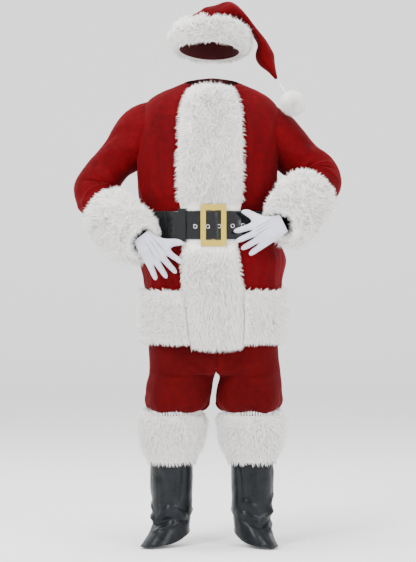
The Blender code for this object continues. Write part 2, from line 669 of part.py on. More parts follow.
def back_turns(row):
    """The turns of the back panel's columns, the same at every row."""
    start = SIDE_SEAM + PANEL_GAP_TURN
    return spread(start, FULL_TURN - start, BACK_CELLS)


def front_right_turns(row):
    return front_turns(row, -1)[::-1]


def front_left_turns(row):
    return front_turns(row, 1)


def panel_column(turns, column, rows, out=0.0, shift=0.0):
    """Points off one column of a panel, straight between the panel's own rows."""
    points = []
    for row in rows:
        upper = min(int(row), HEM_ROW)
        start = JACKET.at(turns(upper)[column] + shift, upper, out)
        if row == upper:
            points.append(start)
            continue
        below = JACKET.at(turns(upper + 1)[column] + shift, upper + 1, out)
        points.append(start.lerp(below, row - upper))
    return points


def pile_column(turns, column, pile, share=1.0, shift=0.0):
    """One column of fur on a panel: its points at the top of the pile and at its foot."""
    rows = [spot.row for spot in pile]
    foot = panel_column(turns, column, rows, FUR_SEAT, shift)
    above = panel_column(turns, column, rows, FUR_SEAT * 2, shift)
    top = []
    for spot, low, high in zip(pile, foot, above):
        lift = max(THINNEST_FUR, spot.out * share - FUR_SEAT)
        top.append(low + (high - low).normalized() * lift)
    return top, foot


def make_jacket_panels():
    rows = range(HEM_ROW + 1)
    cores = {}
    for name, table, side in (("right", SLEEVE_RIGHT, -1), ("left", SLEEVE_LEFT, 1)):
        sleeve = tube_surface(table, -side)
        core_rows = spread(0, ARMHOLE_DEPTH, 6)
        columns = [[sleeve.at(turn, row, -VELVET) for row in core_rows] for turn in around(SLEEVE_CELLS)]
        cores[name] = add_object(capped_core(columns), "armhole_" + name, None)
    panels = [
        ("jacket_front_right", front_right_turns, FRONT_CELLS, ("right",)),
        ("jacket_front_left", front_left_turns, FRONT_CELLS, ("left",)),
        ("jacket_back", back_turns, BACK_CELLS, ("right", "left")),
    ]
    for name, turns, cells, armholes in panels:
        outer = [panel_column(turns, i, rows) for i in range(cells + 1)]
        inner = [panel_column(turns, i, rows, -VELVET) for i in range(cells + 1)]
        thing = add_object(build_wall(outer, inner, wraps=False), name, "jacket_velvet")
        for armhole in armholes:
            cut_with(thing, cores[armhole])


def body_columns(out):
    """Columns all round the body, just off the panels' own points."""
    rows = range(BODY_CORE_ROWS)
    columns = [panel_column(front_right_turns, i, rows, out) for i in range(FRONT_CELLS + 1)]
    columns += [panel_column(front_left_turns, i, rows, out) for i in range(FRONT_CELLS + 1)]
    return columns + [panel_column(back_turns, i, rows, out) for i in range(BACK_CELLS + 1)]


def make_sleeves():
    body_core = add_object(capped_core(body_columns(SEAM_GAP)), "body_core", None)
    for name, table, side in (("right", SLEEVE_RIGHT, -1), ("left", SLEEVE_LEFT, 1)):
        sleeve = tube_surface(table, -side, SLEEVE_FOLDS)
        wall = cloth_wall(sleeve, around(SLEEVE_CELLS), SLEEVE_ROWS, VELVET, wraps=True)
        thing = add_object(wall, "jacket_sleeve_" + name, "jacket_velvet")
        cut_with(thing, body_core)
        cuff = fur_ring(sleeve, around(SLEEVE_CELLS), CUFF_PILE, cuff_share)
        add_object(cuff, "jacket_cuff_fur_" + name, "white_fur")


def cuff_share(turn):
    """The cuff's fur is pressed flatter where it faces the body."""
    facing = max(0.0, math.cos(turn - CUFF_PRESSED_TURN))
    return 1 - CUFF_PRESSED_SHARE * facing * facing


def make_placket():
    """Fur over the front opening, made from the points of both front panels."""
    columns = [(front_right_turns, FRONT_CELLS - PLACKET_SIDE_CELLS + i) for i in range(PLACKET_SIDE_CELLS)]
    columns += [(front_left_turns, i) for i in range(PLACKET_SIDE_CELLS + 1)]
    outer, inner = [], []
    for (turns, column), share in zip(columns, PLACKET_EDGE_SHARE):
        top, foot = pile_column(turns, column, PLACKET, share)
        outer.append(top)
        inner.append(foot)
    add_object(build_wall(outer, inner, wraps=False), "jacket_placket_fur", "white_fur")


def make_hem_bands():
    """Fur round the hem, from the placket's edge to the centre back on each side."""
    half_back = BACK_CELLS // 2
    left = [(front_left_turns, i) for i in range(PLACKET_SIDE_CELLS, FRONT_CELLS)]
    left += [(back_turns, i) for i in range(half_back + 1)]
    right = [(back_turns, i) for i in range(half_back, BACK_CELLS + 1)]
    right += [(front_right_turns, i) for i in range(1, FRONT_CELLS - PLACKET_SIDE_CELLS + 1)]
    for name, columns in (("left", left), ("right", right)):
        shifts = [HEM_JOIN_TURN] + [0.0] * (len(columns) - 2) + [-HEM_JOIN_TURN]
        outer, inner = [], []
        for (turns, column), shift in zip(columns, shifts):
            top, foot = pile_column(turns, column, HEM_PILE, shift=shift)
            outer.append(top)
            inner.append(foot)
        add_object(build_wall(outer, inner, wraps=False), "jacket_hem_fur_" + name, "white_fur")


def belt_bed(turn):
    """How far the belt's inner layer lies off the jacket: more over the placket."""
    away = abs(math.remainder(turn, FULL_TURN))
    share = max(0.0, min(1.0, (PLACKET_LIES + PLACKET_FADES - away) / PLACKET_FADES))
    return mix(BELT_CLEAR, BELT_OVER_PLACKET, share * share * (3 - 2 * share))


def bar_turn():
    return turn_at(row_at(TORSO, BELT_MIDDLE), BUCKLE_MIDDLE)


def strap_out(turn):
    """The strap winds outwards by one layer in a full turn, and rises over the bar."""
    laps = (bar_turn() - STRAP_STARTS_PAST_BAR - turn) / FULL_TURN
    away = abs(math.remainder(turn - bar_turn(), FULL_TURN)) / BAR_HALF_TURN
    lift = BAR_LIFT * math.exp(-away * away) if laps > 0.5 else 0.0
    return belt_bed(turn) + (STRAP_THICK + LAYER_GAP) * max(0.0, laps) + lift


def strap_edge_rows():
    heights = [BELT_MIDDLE + BELT_TALL / 2, BELT_MIDDLE - BELT_TALL / 2]
    return [row_at(TORSO, height) for height in heights]


def make_belt():
    rows = strap_edge_rows()
    start = bar_turn() - STRAP_STARTS_PAST_BAR
    turns = spread(start, start - STRAP_NEARS_BUCKLE, STRAP_LONG_CELLS)[:-1]
    turns += spread(start - STRAP_NEARS_BUCKLE, start - STRAP_ENDS_PAST_START, STRAP_FRONT_CELLS)
    outer = [[BODICE.at(turn, row, strap_out(turn) + STRAP_THICK) for row in rows] for turn in turns]
    inner = [[BODICE.at(turn, row, strap_out(turn)) for row in rows] for turn in turns]
    add_object(build_wall(outer, inner, wraps=False), "belt_strap", "black_patent")
    make_keeper()
    make_buckle()


def make_keeper():
    """A flat loop that holds the lapped end: one section, drawn straight across."""
    middle_row = row_at(TORSO, BELT_MIDDLE)
    middle_turn = turn_at(middle_row, KEEPER_MIDDLE)
    centre = BODICE.at(middle_turn, middle_row)
    step = BODICE.at(middle_turn + TINY_STEP, middle_row) - BODICE.at(middle_turn - TINY_STEP, middle_row)
    across = Vector((step.x, step.y, 0)).normalized()
    inside = belt_bed(middle_turn) - KEEPER_ROOM
    outside = strap_out(middle_turn - FULL_TURN) + STRAP_THICK + KEEPER_ROOM
    half_tall = KEEPER_TALL / 2
    hole_half = BELT_TALL / 2 + LAYER_GAP
    corners = [
        (half_tall, outside + KEEPER_THICK), (-half_tall, outside + KEEPER_THICK),
        (-half_tall, inside - KEEPER_THICK / 3), (half_tall, inside - KEEPER_THICK / 3),
    ]
    hole = [(hole_half, outside), (-hole_half, outside), (-hole_half, inside), (hole_half, inside)]

    def section_point(corner, offset):
        height, out = corner
        point = BODICE.at(middle_turn, row_at(TORSO, BELT_MIDDLE + height), out)
        return point + across * (offset - (point - centre).dot(across))

    offsets = [-KEEPER_WIDE / 2, KEEPER_WIDE / 2]
    outer = [[section_point(corner, offset) for offset in offsets] for corner in corners]
    inner = [[section_point(corner, offset) for offset in offsets] for corner in hole]
    add_object(build_wall(outer, inner, wraps=True), "belt_keeper", "black_patent")


def add_block(name, wide, deep, tall, middle, finish):
    mesh = bmesh.new()
    bmesh.ops.create_cube(mesh, size=1.0)
    bmesh.ops.scale(mesh, vec=(wide, deep, tall), verts=mesh.verts)
    bmesh.ops.translate(mesh, vec=middle, verts=mesh.verts)
    return add_object(mesh, name, finish)


def make_buckle():
    """A flat frame in front of the strap, and a middle bar behind it."""
    fronts, backs = [], []
    for row in strap_edge_rows():
        for x in (-BUCKLE_WIDE / 2, -WINDOW_WIDE / 2, WINDOW_WIDE / 2, BUCKLE_WIDE / 2):
            turn = turn_at(row, BUCKLE_MIDDLE + x)
            fronts.append(BODICE.at(turn, row, strap_out(turn - FULL_TURN) + STRAP_THICK).y)
        for x in (-BAR_WIDE / 2, BAR_WIDE / 2):
            turn = turn_at(row, BUCKLE_MIDDLE + x)
            backs.append(BODICE.at(turn, row, strap_out(turn - FULL_TURN)).y)
    frame_back = min(fronts) - LAYER_GAP
    bar_front = max(backs) + LAYER_GAP
    frame_middle = Vector((BUCKLE_MIDDLE, frame_back - BUCKLE_THICK / 2, BELT_MIDDLE))
    frame = add_block("belt_buckle", BUCKLE_WIDE, BUCKLE_THICK, BUCKLE_TALL, frame_middle, "buckle_brass")
    window = add_block("buckle_window", WINDOW_WIDE, BUCKLE_THICK * 3, WINDOW_TALL, frame_middle, None)
    cut_with(frame, window)
    bar_middle = Vector((BUCKLE_MIDDLE, bar_front + BAR_THICK / 2, BELT_MIDDLE))
    bar_tall = WINDOW_TALL + BUCKLE_THICK * 2
    bar = add_block("buckle_bar", BAR_WIDE, BAR_THICK, bar_tall, bar_middle, None)
    join_with(frame, bar)
    for name, sign in (("upper", 1), ("lower", -1)):
        far = bar_front + BAR_THICK
        near = frame_back - BUCKLE_THICK / 2
        height = BELT_MIDDLE + sign * (WINDOW_TALL / 2 + BUCKLE_THICK / 2)
        middle = Vector((BUCKLE_MIDDLE, (far + near) / 2, height))
        post = add_block("buckle_post_" + name, BAR_WIDE, far - near, BUCKLE_THICK, middle, None)
        join_with(frame, post)
    edges = frame.modifiers.new("soft edges", "BEVEL")
    edges.width = 0.0008
    edges.segments = 1
    edges.limit_method = "ANGLE"


def make_trousers():
    outer_turns = spread(0.0, HALF_TURN, LEG_OUTER_CELLS)
    inner_turns = spread(HALF_TURN, FULL_TURN, LEG_INNER_CELLS)[1:-1]
    turns = outer_turns + inner_turns

    def keep(i, k):
        return i < LEG_OUTER_CELLS or k >= CROTCH_ROW

    for name, table, side in (("right", LEG_RIGHT, -1), ("left", LEG_LEFT, 1)):
        leg = leg_surface(table, side, LEG_FOLDS)
        rows = [float(k) for k in range(len(table))]
        wall = cloth_wall(leg, turns, rows, VELVET, wraps=True, keep=keep)
        add_object(wall, "trousers_leg_" + name, "trouser_velvet")


def make_waistband():
    """The trousers' top edge, one soft band all round."""
    outer, inner = [], []
    for i in range(WAISTBAND_CELLS):
        turn = FULL_TURN * i / WAISTBAND_CELLS
        side = abs((LEG_LEFT if math.sin(turn) > 0 else LEG_RIGHT)[0].outer - TROUSERS_MIDDLE)
        reach = polar_reach(turn, side, LEG_LEFT[0].front, LEG_LEFT[0].back, TORSO_SQUARENESS)
        heading = Vector((math.sin(turn), -math.cos(turn), 0))
        base = Vector((TROUSERS_MIDDLE, 0, 0))
        heights = [Vector((0, 0, z)) for z in (WAISTBAND_TOP, WAISTBAND_BOTTOM)]
        outer.append([base + heading * reach + height for height in heights])
        inner.append([base + heading * (reach - 0.003) + height for height in heights])
    add_object(build_wall(outer, inner, wraps=True), "trousers_waistband", "trouser_velvet")


def make_boot_covers():
    rows = [float(k) for k in range(len(BOOT))]
    seam = SEAM_GAP / 2 / BOOT[4].side
    for name, foot, side in (("right", FOOT_RIGHT, -1), ("left", FOOT_LEFT, 1)):
        cover = ring_surface(BOOT, BOOT_SQUARENESS, BOOT_FOLDS, foot)
        for panel, sign in (("outer", side), ("inner", -side)):
            turns = spread(sign * seam, sign * (HALF_TURN - seam), BOOT_CELLS)
            wall = cloth_wall(cover, turns, rows, VINYL)
            add_object(wall, "boot_{}_{}".format(name, panel), "black_vinyl")
        fur = fur_ring(cover, around(2 * BOOT_CELLS), BOOT_TOP_PILE)
        add_object(fur, "boot_top_fur_" + name, "white_fur")


def make_hat():
    crown = tube_surface(CROWN, -1)
    turns = around(CROWN_CELLS)
    outer = [[crown.at(turn, row) for row in CROWN_ROWS] for turn in turns]
    inner = [[crown.at(turn, row, -VELVET) for row in CROWN_ROWS] for turn in turns]
    tip = crown.middle(CROWN_ROWS[-1])
    ahead = (tip - crown.middle(CROWN_ROWS[-1] - TINY_STEP)).normalized()
    for column in outer:
        column.append(tip + ahead * CROWN_POINT)
    for column in inner:
        column.append(tip + ahead * CROWN_POINT / 2)
    wall = build_wall(outer, inner, wraps=True, closed_tip=True)
    add_object(wall, "hat_crown", "jacket_velvet")
    brim = fur_ring(crown, turns, BRIM_PILE)
    add_object(brim, "hat_brim_fur", "white_fur")
    make_pompom(tip + ahead * CROWN_POINT)


def make_pompom(crown_tip):
    """A ball of yarn with the short tie that it hangs by."""
    mesh = bmesh.new()
    bmesh.ops.create_uvsphere(mesh, u_segments=14, v_segments=9, radius=POMPOM_RADIUS)
    bmesh.ops.translate(mesh, vec=POMPOM_MIDDLE, verts=mesh.verts)
    ball = add_object(mesh, "hat_pompom", "white_fur")
    tie_starts = crown_tip + (POMPOM_MIDDLE - crown_tip).normalized() * SEAM_GAP
    line = POMPOM_MIDDLE - tie_starts
    tie = bmesh.new()
    bmesh.ops.create_cone(
        tie, cap_ends=True, segments=8, radius1=TIE_RADIUS, radius2=TIE_RADIUS, depth=line.length
    )
    turned = line.to_track_quat("Z", "Y").to_matrix().to_4x4()
    bmesh.ops.transform(tie, matrix=Matrix.Translation((tie_starts + POMPOM_MIDDLE) / 2) @ turned, verts=tie.verts)
    join_with(ball, add_object(tie, "pompom_tie", None))


def glove_cage(splay):
    """A coarse open cage of a glove, drawn flat: x ahead, y to the thumb, z the back."""
    mesh = bmesh.new()
    sections = [
        (0.0, WRIST_HALF_WIDE, WRIST_HALF_THICK),
        (PALM_LONG * THUMB_BASE_STARTS, PALM_HALF_WIDE * 0.88, PALM_HALF_THICK * 1.3),
        (PALM_LONG, PALM_HALF_WIDE, PALM_HALF_THICK),
    ]
    layers = {}
    for s, (x, half_wide, half_thick) in enumerate(sections):
        for line in range(5):
            y = half_wide * (1 - line / 2)
            bulge = half_thick * (1.0 if 0 < line < 4 else 0.72)
            layers[s, line, 1] = mesh.verts.new((x, y, bulge))
            layers[s, line, -1] = mesh.verts.new((x, y, -bulge))
    for s in range(2):
        for line in range(4):
            for face in (1, -1):
                corners = [(s, line), (s, line + 1), (s + 1, line + 1), (s + 1, line)]
                mesh.faces.new([layers[a, b, face] for a, b in corners])
        for line in (0, 4):
            mesh.faces.new([
                layers[s, line, 1], layers[s + 1, line, 1], layers[s + 1, line, -1], layers[s, line, -1],
            ])
    knuckles = []
    for line in range(4):
        knuckles.append(mesh.faces.new([
            layers[2, line, 1], layers[2, line + 1, 1], layers[2, line + 1, -1], layers[2, line, -1],
        ]))
    thumb_side = {layers[s, 0, face] for s in (1, 2) for face in (1, -1)}
    thumb = next(face for face in mesh.faces if set(face.verts) == thumb_side)
    bmesh.ops.recalc_face_normals(mesh, faces=mesh.faces)
    for face, finger in zip(knuckles, FINGERS):
        splayed = finger._replace(spread=finger.spread * splay)
        grow_finger(mesh, face, splayed, [0.52, 0.48], [FINGER_NARROWS, FINGER_TIP])
    grow_finger(mesh, thumb, THUMB, [0.30, 0.32, 0.38], [0.66, 0.92, FINGER_TIP])
    return mesh


def grow_finger(mesh, face, finger, lengths, widths):
    """Draws a finger out of one face in a few steps, each narrower and more curled."""
    curl = 0.0
    for length, width in zip(lengths, widths):
        curl += finger.curl
        heading = Vector((
            math.cos(finger.spread) * math.cos(curl),
            math.sin(finger.spread) * math.cos(curl),
            -math.sin(curl),
        ))
        face = bmesh.ops.extrude_discrete_faces(mesh, faces=[face])["faces"][0]
        middle = face.calc_center_median()
        target = middle + heading * finger.length * length
        for vert in face.verts:
            vert.co = target + (vert.co - middle) * width


def make_gloves():
    for name, hand in (("right", HAND_RIGHT), ("left", HAND_LEFT)):
        ahead = hand.ahead.normalized()
        thumbwards = (hand.thumbwards - ahead * hand.thumbwards.dot(ahead)).normalized()
        backwards = ahead.cross(thumbwards)
        mirrored = backwards.y > 0
        if mirrored:
            backwards.negate()
        place = Matrix((ahead, thumbwards, backwards)).transposed().to_4x4()
        place.translation = hand.wrist
        cage = glove_cage(hand.splay)
        bmesh.ops.transform(cage, matrix=place, verts=cage.verts)
        if mirrored:
            bmesh.ops.reverse_faces(cage, faces=cage.faces)
        thing = add_object(cage, "glove_" + name, "white_cotton")
        smooth = thing.modifiers.new("round", "SUBSURF")
        smooth.levels = 1
        smooth.render_levels = 1
        wall = thing.modifiers.new("cloth", "SOLIDIFY")
        wall.thickness = GLOVE_CLOTH
        wall.offset = -1.0
        wall.use_even_offset = True


clear_scene()
SUIT = new_collection("santa_suit")
CUTTERS = new_collection("cutters")
MATERIALS = {name: make_finish(name) for name in FINISHES}
BODICE = ring_surface(TORSO, TORSO_SQUARENESS)
JACKET = ring_surface(TORSO, TORSO_SQUARENESS, JACKET_FOLDS, slack=slack_beside_belt)

make_jacket_panels()
make_sleeves()
make_placket()
make_hem_bands()
make_belt()
make_trousers()
make_waistband()
make_boot_covers()
make_hat()
make_gloves()
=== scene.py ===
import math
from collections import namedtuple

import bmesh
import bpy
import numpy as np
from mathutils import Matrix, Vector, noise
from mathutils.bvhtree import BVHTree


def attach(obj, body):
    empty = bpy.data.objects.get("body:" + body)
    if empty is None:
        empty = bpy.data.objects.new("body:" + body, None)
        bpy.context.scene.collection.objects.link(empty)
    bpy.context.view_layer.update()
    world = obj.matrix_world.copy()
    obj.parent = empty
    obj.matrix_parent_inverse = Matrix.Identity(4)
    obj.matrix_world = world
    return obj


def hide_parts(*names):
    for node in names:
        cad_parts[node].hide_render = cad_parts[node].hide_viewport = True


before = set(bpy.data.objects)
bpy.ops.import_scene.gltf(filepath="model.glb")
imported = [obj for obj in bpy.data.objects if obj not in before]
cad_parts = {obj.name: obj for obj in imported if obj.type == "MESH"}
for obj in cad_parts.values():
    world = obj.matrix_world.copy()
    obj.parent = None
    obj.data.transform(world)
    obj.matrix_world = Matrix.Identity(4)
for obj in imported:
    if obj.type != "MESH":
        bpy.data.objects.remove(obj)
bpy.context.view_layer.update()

# %% [markdown]
# # A Santa suit in velvet, fur, patent and cotton
# The suit stands as it does when worn, with its hands on the hips, and it is hollow.
# Every garment is built from the same short tables as its solid, only much finer: a row
# of numbers for each ring of the body, each station of a sleeve, each ring of a boot.
# Creases are laid on one by one, fur is grown as tapered locks on a soft base, and each
# material is mixed from noise, so that nothing is one flat colour.
#
# All sizes are in metres. The front faces -Y, +Z is up, and "right" is the suit's own
# right side, at -X.

HALF_TURN = math.pi
FULL_TURN = 2 * math.pi

# %% [markdown]
# ## The stage
# The camera stands seven metres in front, about a metre above the floor, with a long
# lens, so that one pixel is 3.32 mm on the suit's middle plane. Large soft lamps stand
# to both sides of it, and the pale floor runs up behind the suit without a corner.

# %% camera
CAMERA_AWAY = 7.0
CAMERA_HEIGHT = -0.55
VIEW_MIDDLE = Vector((-0.0166, 0.0, -0.634))
VIEW_TALL = 1.866
camera_data = bpy.data.cameras.new("camera")
camera_data.sensor_fit = "VERTICAL"
camera_data.sensor_height = 24.0
camera_data.lens = 12.0 / (VIEW_TALL / 2 / CAMERA_AWAY)
camera = bpy.data.objects.new("camera", camera_data)
bpy.context.scene.collection.objects.link(camera)
camera.location = (VIEW_MIDDLE.x, -CAMERA_AWAY, CAMERA_HEIGHT)
camera.rotation_euler = (VIEW_MIDDLE - camera.location).to_track_quat("-Z", "Y").to_euler()
bpy.context.scene.camera = camera
print("lens", round(camera_data.lens, 1), "mm")

# %% lamps and world
Lamp = namedtuple("Lamp", "name place size power")
LAMPS = [
    Lamp(name="key", place=(-3.2, -4.6, 2.2), size=1.6, power=340.0),
    Lamp(name="fill", place=(3.8, -4.0, 0.6), size=2.4, power=190.0),
    Lamp(name="above", place=(-0.6, -0.8, 3.2), size=1.8, power=190.0),
    Lamp(name="behind_left", place=(2.6, 2.2, 1.0), size=1.6, power=45.0),
    Lamp(name="behind_right", place=(-2.6, 2.2, 1.0), size=1.6, power=45.0),
]
for lamp in LAMPS:
    light = bpy.data.lights.new(lamp.name, "AREA")
    light.shape = "SQUARE"
    light.size = lamp.size
    light.energy = lamp.power
    holder = bpy.data.objects.new(lamp.name, light)
    bpy.context.scene.collection.objects.link(holder)
    holder.location = lamp.place
    aim = Vector((0, 0, -0.6)) - holder.location
    holder.rotation_euler = aim.to_track_quat("-Z", "Y").to_euler()
world = bpy.data.worlds.new("studio")
world.use_nodes = True
world.node_tree.nodes["Background"].inputs["Color"].default_value = (1.0, 1.0, 1.0, 1.0)
world.node_tree.nodes["Background"].inputs["Strength"].default_value = 1.3
bpy.context.scene.world = world
print("lamps", len(LAMPS))

# %% [markdown]
# ## Shader maths as Python
# A `Sig` wraps a shader socket, so that sums, products and powers of sockets are written
# as plain expressions. A `Finish` is a Principled material in the making: its constant
# numbers are set on the shader's own sockets, and only colour, roughness and the normal
# are fed from noise.

# %% the Sig and Finish classes
def feed(tree, slot, value):
    """Links a Sig to an input, or sets the input to a plain value."""
    if isinstance(value, Sig):
        tree.links.new(value.socket, slot)
    else:
        slot.default_value = value


class Sig:
    """A shader socket that can stand in Python expressions."""

    def __init__(self, tree, socket):
        self.tree = tree
        self.socket = socket

    def node(self, kind, values, output=0, **settings):
        made = self.tree.nodes.new("ShaderNode" + kind)
        for key, setting in settings.items():
            setattr(made, key, setting)
        for key, value in values.items():
            feed(self.tree, made.inputs[key], value)
        return Sig(self.tree, made.outputs[output])

    def maths(self, operation, first, second):
        return self.node("Math", {0: first, 1: second}, operation=operation)

    def __add__(self, other):
        return self.maths("ADD", self, other)

    def __mul__(self, other):
        return self.maths("MULTIPLY", self, other)


class Finish:
    """A Principled material, with helpers for the textures that the suit needs."""

    def __init__(self, name, colour, roughness, **constants):
        self.material = bpy.data.materials.new(name)
        self.material.use_nodes = True
        self.tree = self.material.node_tree
        self.shader = self.tree.nodes["Principled BSDF"]
        self.shader.inputs["Base Color"].default_value = (*colour, 1.0)
        self.shader.inputs["Roughness"].default_value = roughness
        for key, value in constants.items():
            socket = self.shader.inputs[key.replace("_", " ")]
            socket.default_value = (*value, 1.0) if isinstance(value, tuple) else value
        places = self.tree.nodes.new("ShaderNodeTexCoord")
        self.place = Sig(self.tree, places.outputs["Object"])
        self.uv = Sig(self.tree, places.outputs["UV"])

    def noise(self, scale, detail=3.0, stretch=(1.0, 1.0, 1.0)):
        """Noise with features about 1/scale metres across, from 0 to 1."""
        where = self.place.node("Mapping", {"Vector": self.place, "Scale": stretch})
        return where.node("TexNoise", {"Vector": where, "Scale": scale, "Detail": detail})

    def blend(self, share, first, second):
        """A colour between two colours, each a triple or a Sig."""
        triples = [(*c, 1.0) if isinstance(c, tuple) else c for c in (first, second)]
        values = {0: share, 6: triples[0], 7: triples[1]}
        return share.node("Mix", values, output=2, data_type="RGBA")

    def between(self, value, low, high):
        """Spreads the part of value from low to high over 0 to 1, and clips the rest."""
        spread = {"Value": value, "From Min": low, "From Max": high}
        return value.node("MapRange", spread)

    def colour(self, colour):
        feed(self.tree, self.shader.inputs["Base Color"], colour)

    def roughness(self, value):
        feed(self.tree, self.shader.inputs["Roughness"], value)

    def bump(self, height, distance, strength=1.0):
        values = {"Height": height, "Distance": distance, "Strength": strength}
        feed(self.tree, self.shader.inputs["Normal"], height.node("Bump", values))


# %% [markdown]
# ## The materials
# Velvet is a deep, slightly uneven crimson: the nap lies this way and that, which shows
# as broad brighter and darker patches, over a pile so fine that it is only bump. Patent
# is nearly black with a clear coat, vinyl is satin with a fine grain, and the buckle is a
# pale brushed brass. Hair colour runs from a greyer root, which is painted shade deep in
# the pile, to a white tip.

# %% velvets
def velvet(name, deep, bright):
    finish = Finish(
        name, bright, 0.82, Sheen_Weight=0.12, Sheen_Roughness=0.40, Sheen_Tint=(0.90, 0.06, 0.09),
        Specular_IOR_Level=0.05,
    )
    brushed = finish.noise(9.0, 4.0, (1.0, 1.0, 0.6)) * 0.65 + finish.noise(55.0, 3.0) * 0.35
    finish.colour(finish.blend(finish.between(brushed, 0.32, 0.68), deep, bright))
    pile = finish.noise(900.0, 2.0) * 0.5 + finish.noise(140.0, 3.0, (1.0, 1.0, 0.5)) * 0.5
    finish.bump(pile, 0.0022, 0.55)
    return finish.material


def knit_back(name, colour):
    """The plain back of the cloth, which shows inside the openings."""
    finish = Finish(name, colour, 0.95)
    shade = finish.noise(40.0)
    dark = tuple(0.6 * part for part in colour)
    finish.colour(finish.blend(shade, dark, colour))
    finish.bump(finish.noise(700.0, 2.0, (1.0, 1.0, 0.3)), 0.0008, 0.5)
    return finish.material


jacket_velvet = velvet("jacket_velvet_nap", (0.052, 0.0006, 0.0016), (0.108, 0.0014, 0.0034))
# The trousers' velvet is the jacket's made darker: painted shade on the same cloth.
trouser_velvet_shaded = velvet("trouser_velvet_painted_shade", (0.040, 0.0006, 0.0012), (0.076, 0.0014, 0.0022))
velvet_back = knit_back("velvet_back", (0.070, 0.003, 0.005))
print("velvets made")

# %% fur
def hair_finish():
    """Hair: its UV runs from root to tip, and holds one random number for each lock."""
    finish = Finish("fur_hair", (0.9, 0.89, 0.86), 0.75, Sheen_Weight=0.15, Sheen_Roughness=0.5)
    split = finish.uv.node("SeparateXYZ", {"Vector": finish.uv})
    chance = split
    along = Sig(finish.tree, split.socket.node.outputs[1])
    tip = finish.blend(finish.between(chance, 0.70, 0.95), (0.98, 0.975, 0.96), (0.90, 0.86, 0.78))
    drift = finish.noise(11.0, 3.0)
    tip = finish.blend(finish.between(drift, 0.52, 0.75) * 0.45, tip, (0.93, 0.89, 0.81))
    # Greyer towards the root: painted shade deep in the pile.
    finish.colour(finish.blend(finish.between(along, 0.0, 0.6), (0.90, 0.88, 0.84), tip))
    return finish.material


def underfur_finish():
    finish = Finish("fur_base", (0.90, 0.89, 0.86), 0.95)
    tuft = finish.noise(160.0, 4.0)
    # Darker where the same noise sinks the bump: partly random tone, partly painted shade in the hollows.
    finish.colour(finish.blend(tuft, (0.80, 0.78, 0.73), (0.96, 0.95, 0.93)))
    finish.bump(tuft, 0.004, 0.8)
    return finish.material


fur_hair = hair_finish()
fur_base = underfur_finish()
print("fur made")

# %% patent, vinyl, brass, steel and cotton
def patent_finish():
    finish = Finish(
        "black_patent_coat", (0.004, 0.005, 0.006), 0.18,
        Specular_IOR_Level=0.25, Coat_Weight=0.35, Coat_Roughness=0.05,
    )
    smear = finish.noise(22.0, 4.0)
    finish.roughness(finish.between(smear, 0.2, 0.8) * 0.16 + 0.12)
    finish.bump(finish.noise(35.0, 3.0, (1.0, 1.0, 0.35)), 0.0022, 0.35)
    return finish.material


def vinyl_finish():
    finish = Finish("black_vinyl_grain", (0.006, 0.007, 0.009), 0.34, Specular_IOR_Level=0.16)
    wear = finish.noise(18.0, 4.0)
    worn = finish.between(wear, 0.35, 0.75)
    finish.colour(finish.blend(worn, (0.004, 0.005, 0.006), (0.011, 0.013, 0.016)))
    finish.roughness(finish.between(wear, 0.25, 0.8) * 0.14 + 0.24)
    grain = finish.noise(520.0, 2.0) * 0.35 + finish.noise(60.0, 4.0) * 0.65
    finish.bump(grain, 0.0016, 0.45)
    return finish.material


def brass_finish():
    finish = Finish("buckle_brass_brushed", (0.86, 0.72, 0.24), 0.30, Metallic=1.0)
    streak = finish.noise(260.0, 3.0, (1.0, 1.0, 0.06))
    finish.colour(finish.blend(streak, (0.62, 0.44, 0.07), (0.86, 0.68, 0.15)))
    finish.roughness(finish.between(streak, 0.2, 0.8) * 0.14 + 0.24)
    finish.bump(streak, 0.0003, 0.25)
    return finish.material


def steel_finish():
    finish = Finish("eyelet_steel", (0.74, 0.75, 0.77), 0.22, Metallic=1.0)
    finish.roughness(finish.noise(400.0) * 0.15 + 0.15)
    return finish.material


def cotton_finish(name, dark, bright):
    finish = Finish(name, bright, 0.92, Sheen_Weight=0.25, Sheen_Roughness=0.6)
    yarn = finish.noise(650.0, 2.0, (1.0, 1.0, 0.45))
    shade = finish.noise(30.0, 3.0)
    finish.colour(finish.blend(finish.between(shade, 0.3, 0.7), dark, bright))
    finish.bump(yarn * 0.6 + shade * 0.4, 0.0012, 0.6)
    return finish.material


black_patent = patent_finish()
black_vinyl = vinyl_finish()
buckle_brass = brass_finish()
eyelet_steel = steel_finish()
white_cotton = cotton_finish("white_cotton_knit", (0.44, 0.44, 0.53), (0.56, 0.56, 0.66))
# The stitching is coloured dark grey: painted shade along the stitches of a white glove.
stitch_shade_cotton = cotton_finish("cotton_stitching_painted_shade", (0.10, 0.10, 0.15), (0.18, 0.18, 0.24))
print("materials", len(bpy.data.materials))

# %% [markdown]
# ## The tables and the surfaces
# A `Surface` answers one question: where is the cloth at this turn round the garment and
# this row down it? Rings describe the body and the boots, stations describe the sleeves
# and the hat's crown, and a trouser leg is half a hip ring that closes into a tube.

# %% reading a table at any row
TINY_STEP = 0.02
SEAM_GAP = 0.0003
FUR_SEAT = 0.0006


def named(kind, rows):
    """Gives the columns of a table's rows their names."""
    return [kind(*row) for row in rows]


def mix(start, end, share):
    return start + (end - start) * share


def curve_value(before, start, end, after, t):
    """A smooth curve through start and end, shaped by their neighbours."""
    return 0.5 * (
        2 * start
        + (end - before) * t
        + (2 * before - 5 * start + 4 * end - after) * t * t
        + (3 * start - before - 3 * end + after) * t * t * t
    )


def read_table(table, row):
    """Reads a table at a row number that may lie between two rows or past an end."""
    last = len(table) - 1
    k = max(0, min(int(math.floor(row)), last - 1))
    values = []
    for n, (start, end) in enumerate(zip(table[k], table[k + 1])):
        before = table[k - 1][n] if k > 0 else 2 * start - end
        after = table[k + 2][n] if k + 2 <= last else 2 * end - start
        values.append(curve_value(before, start, end, after, row - k))
    return type(table[0])(*values)


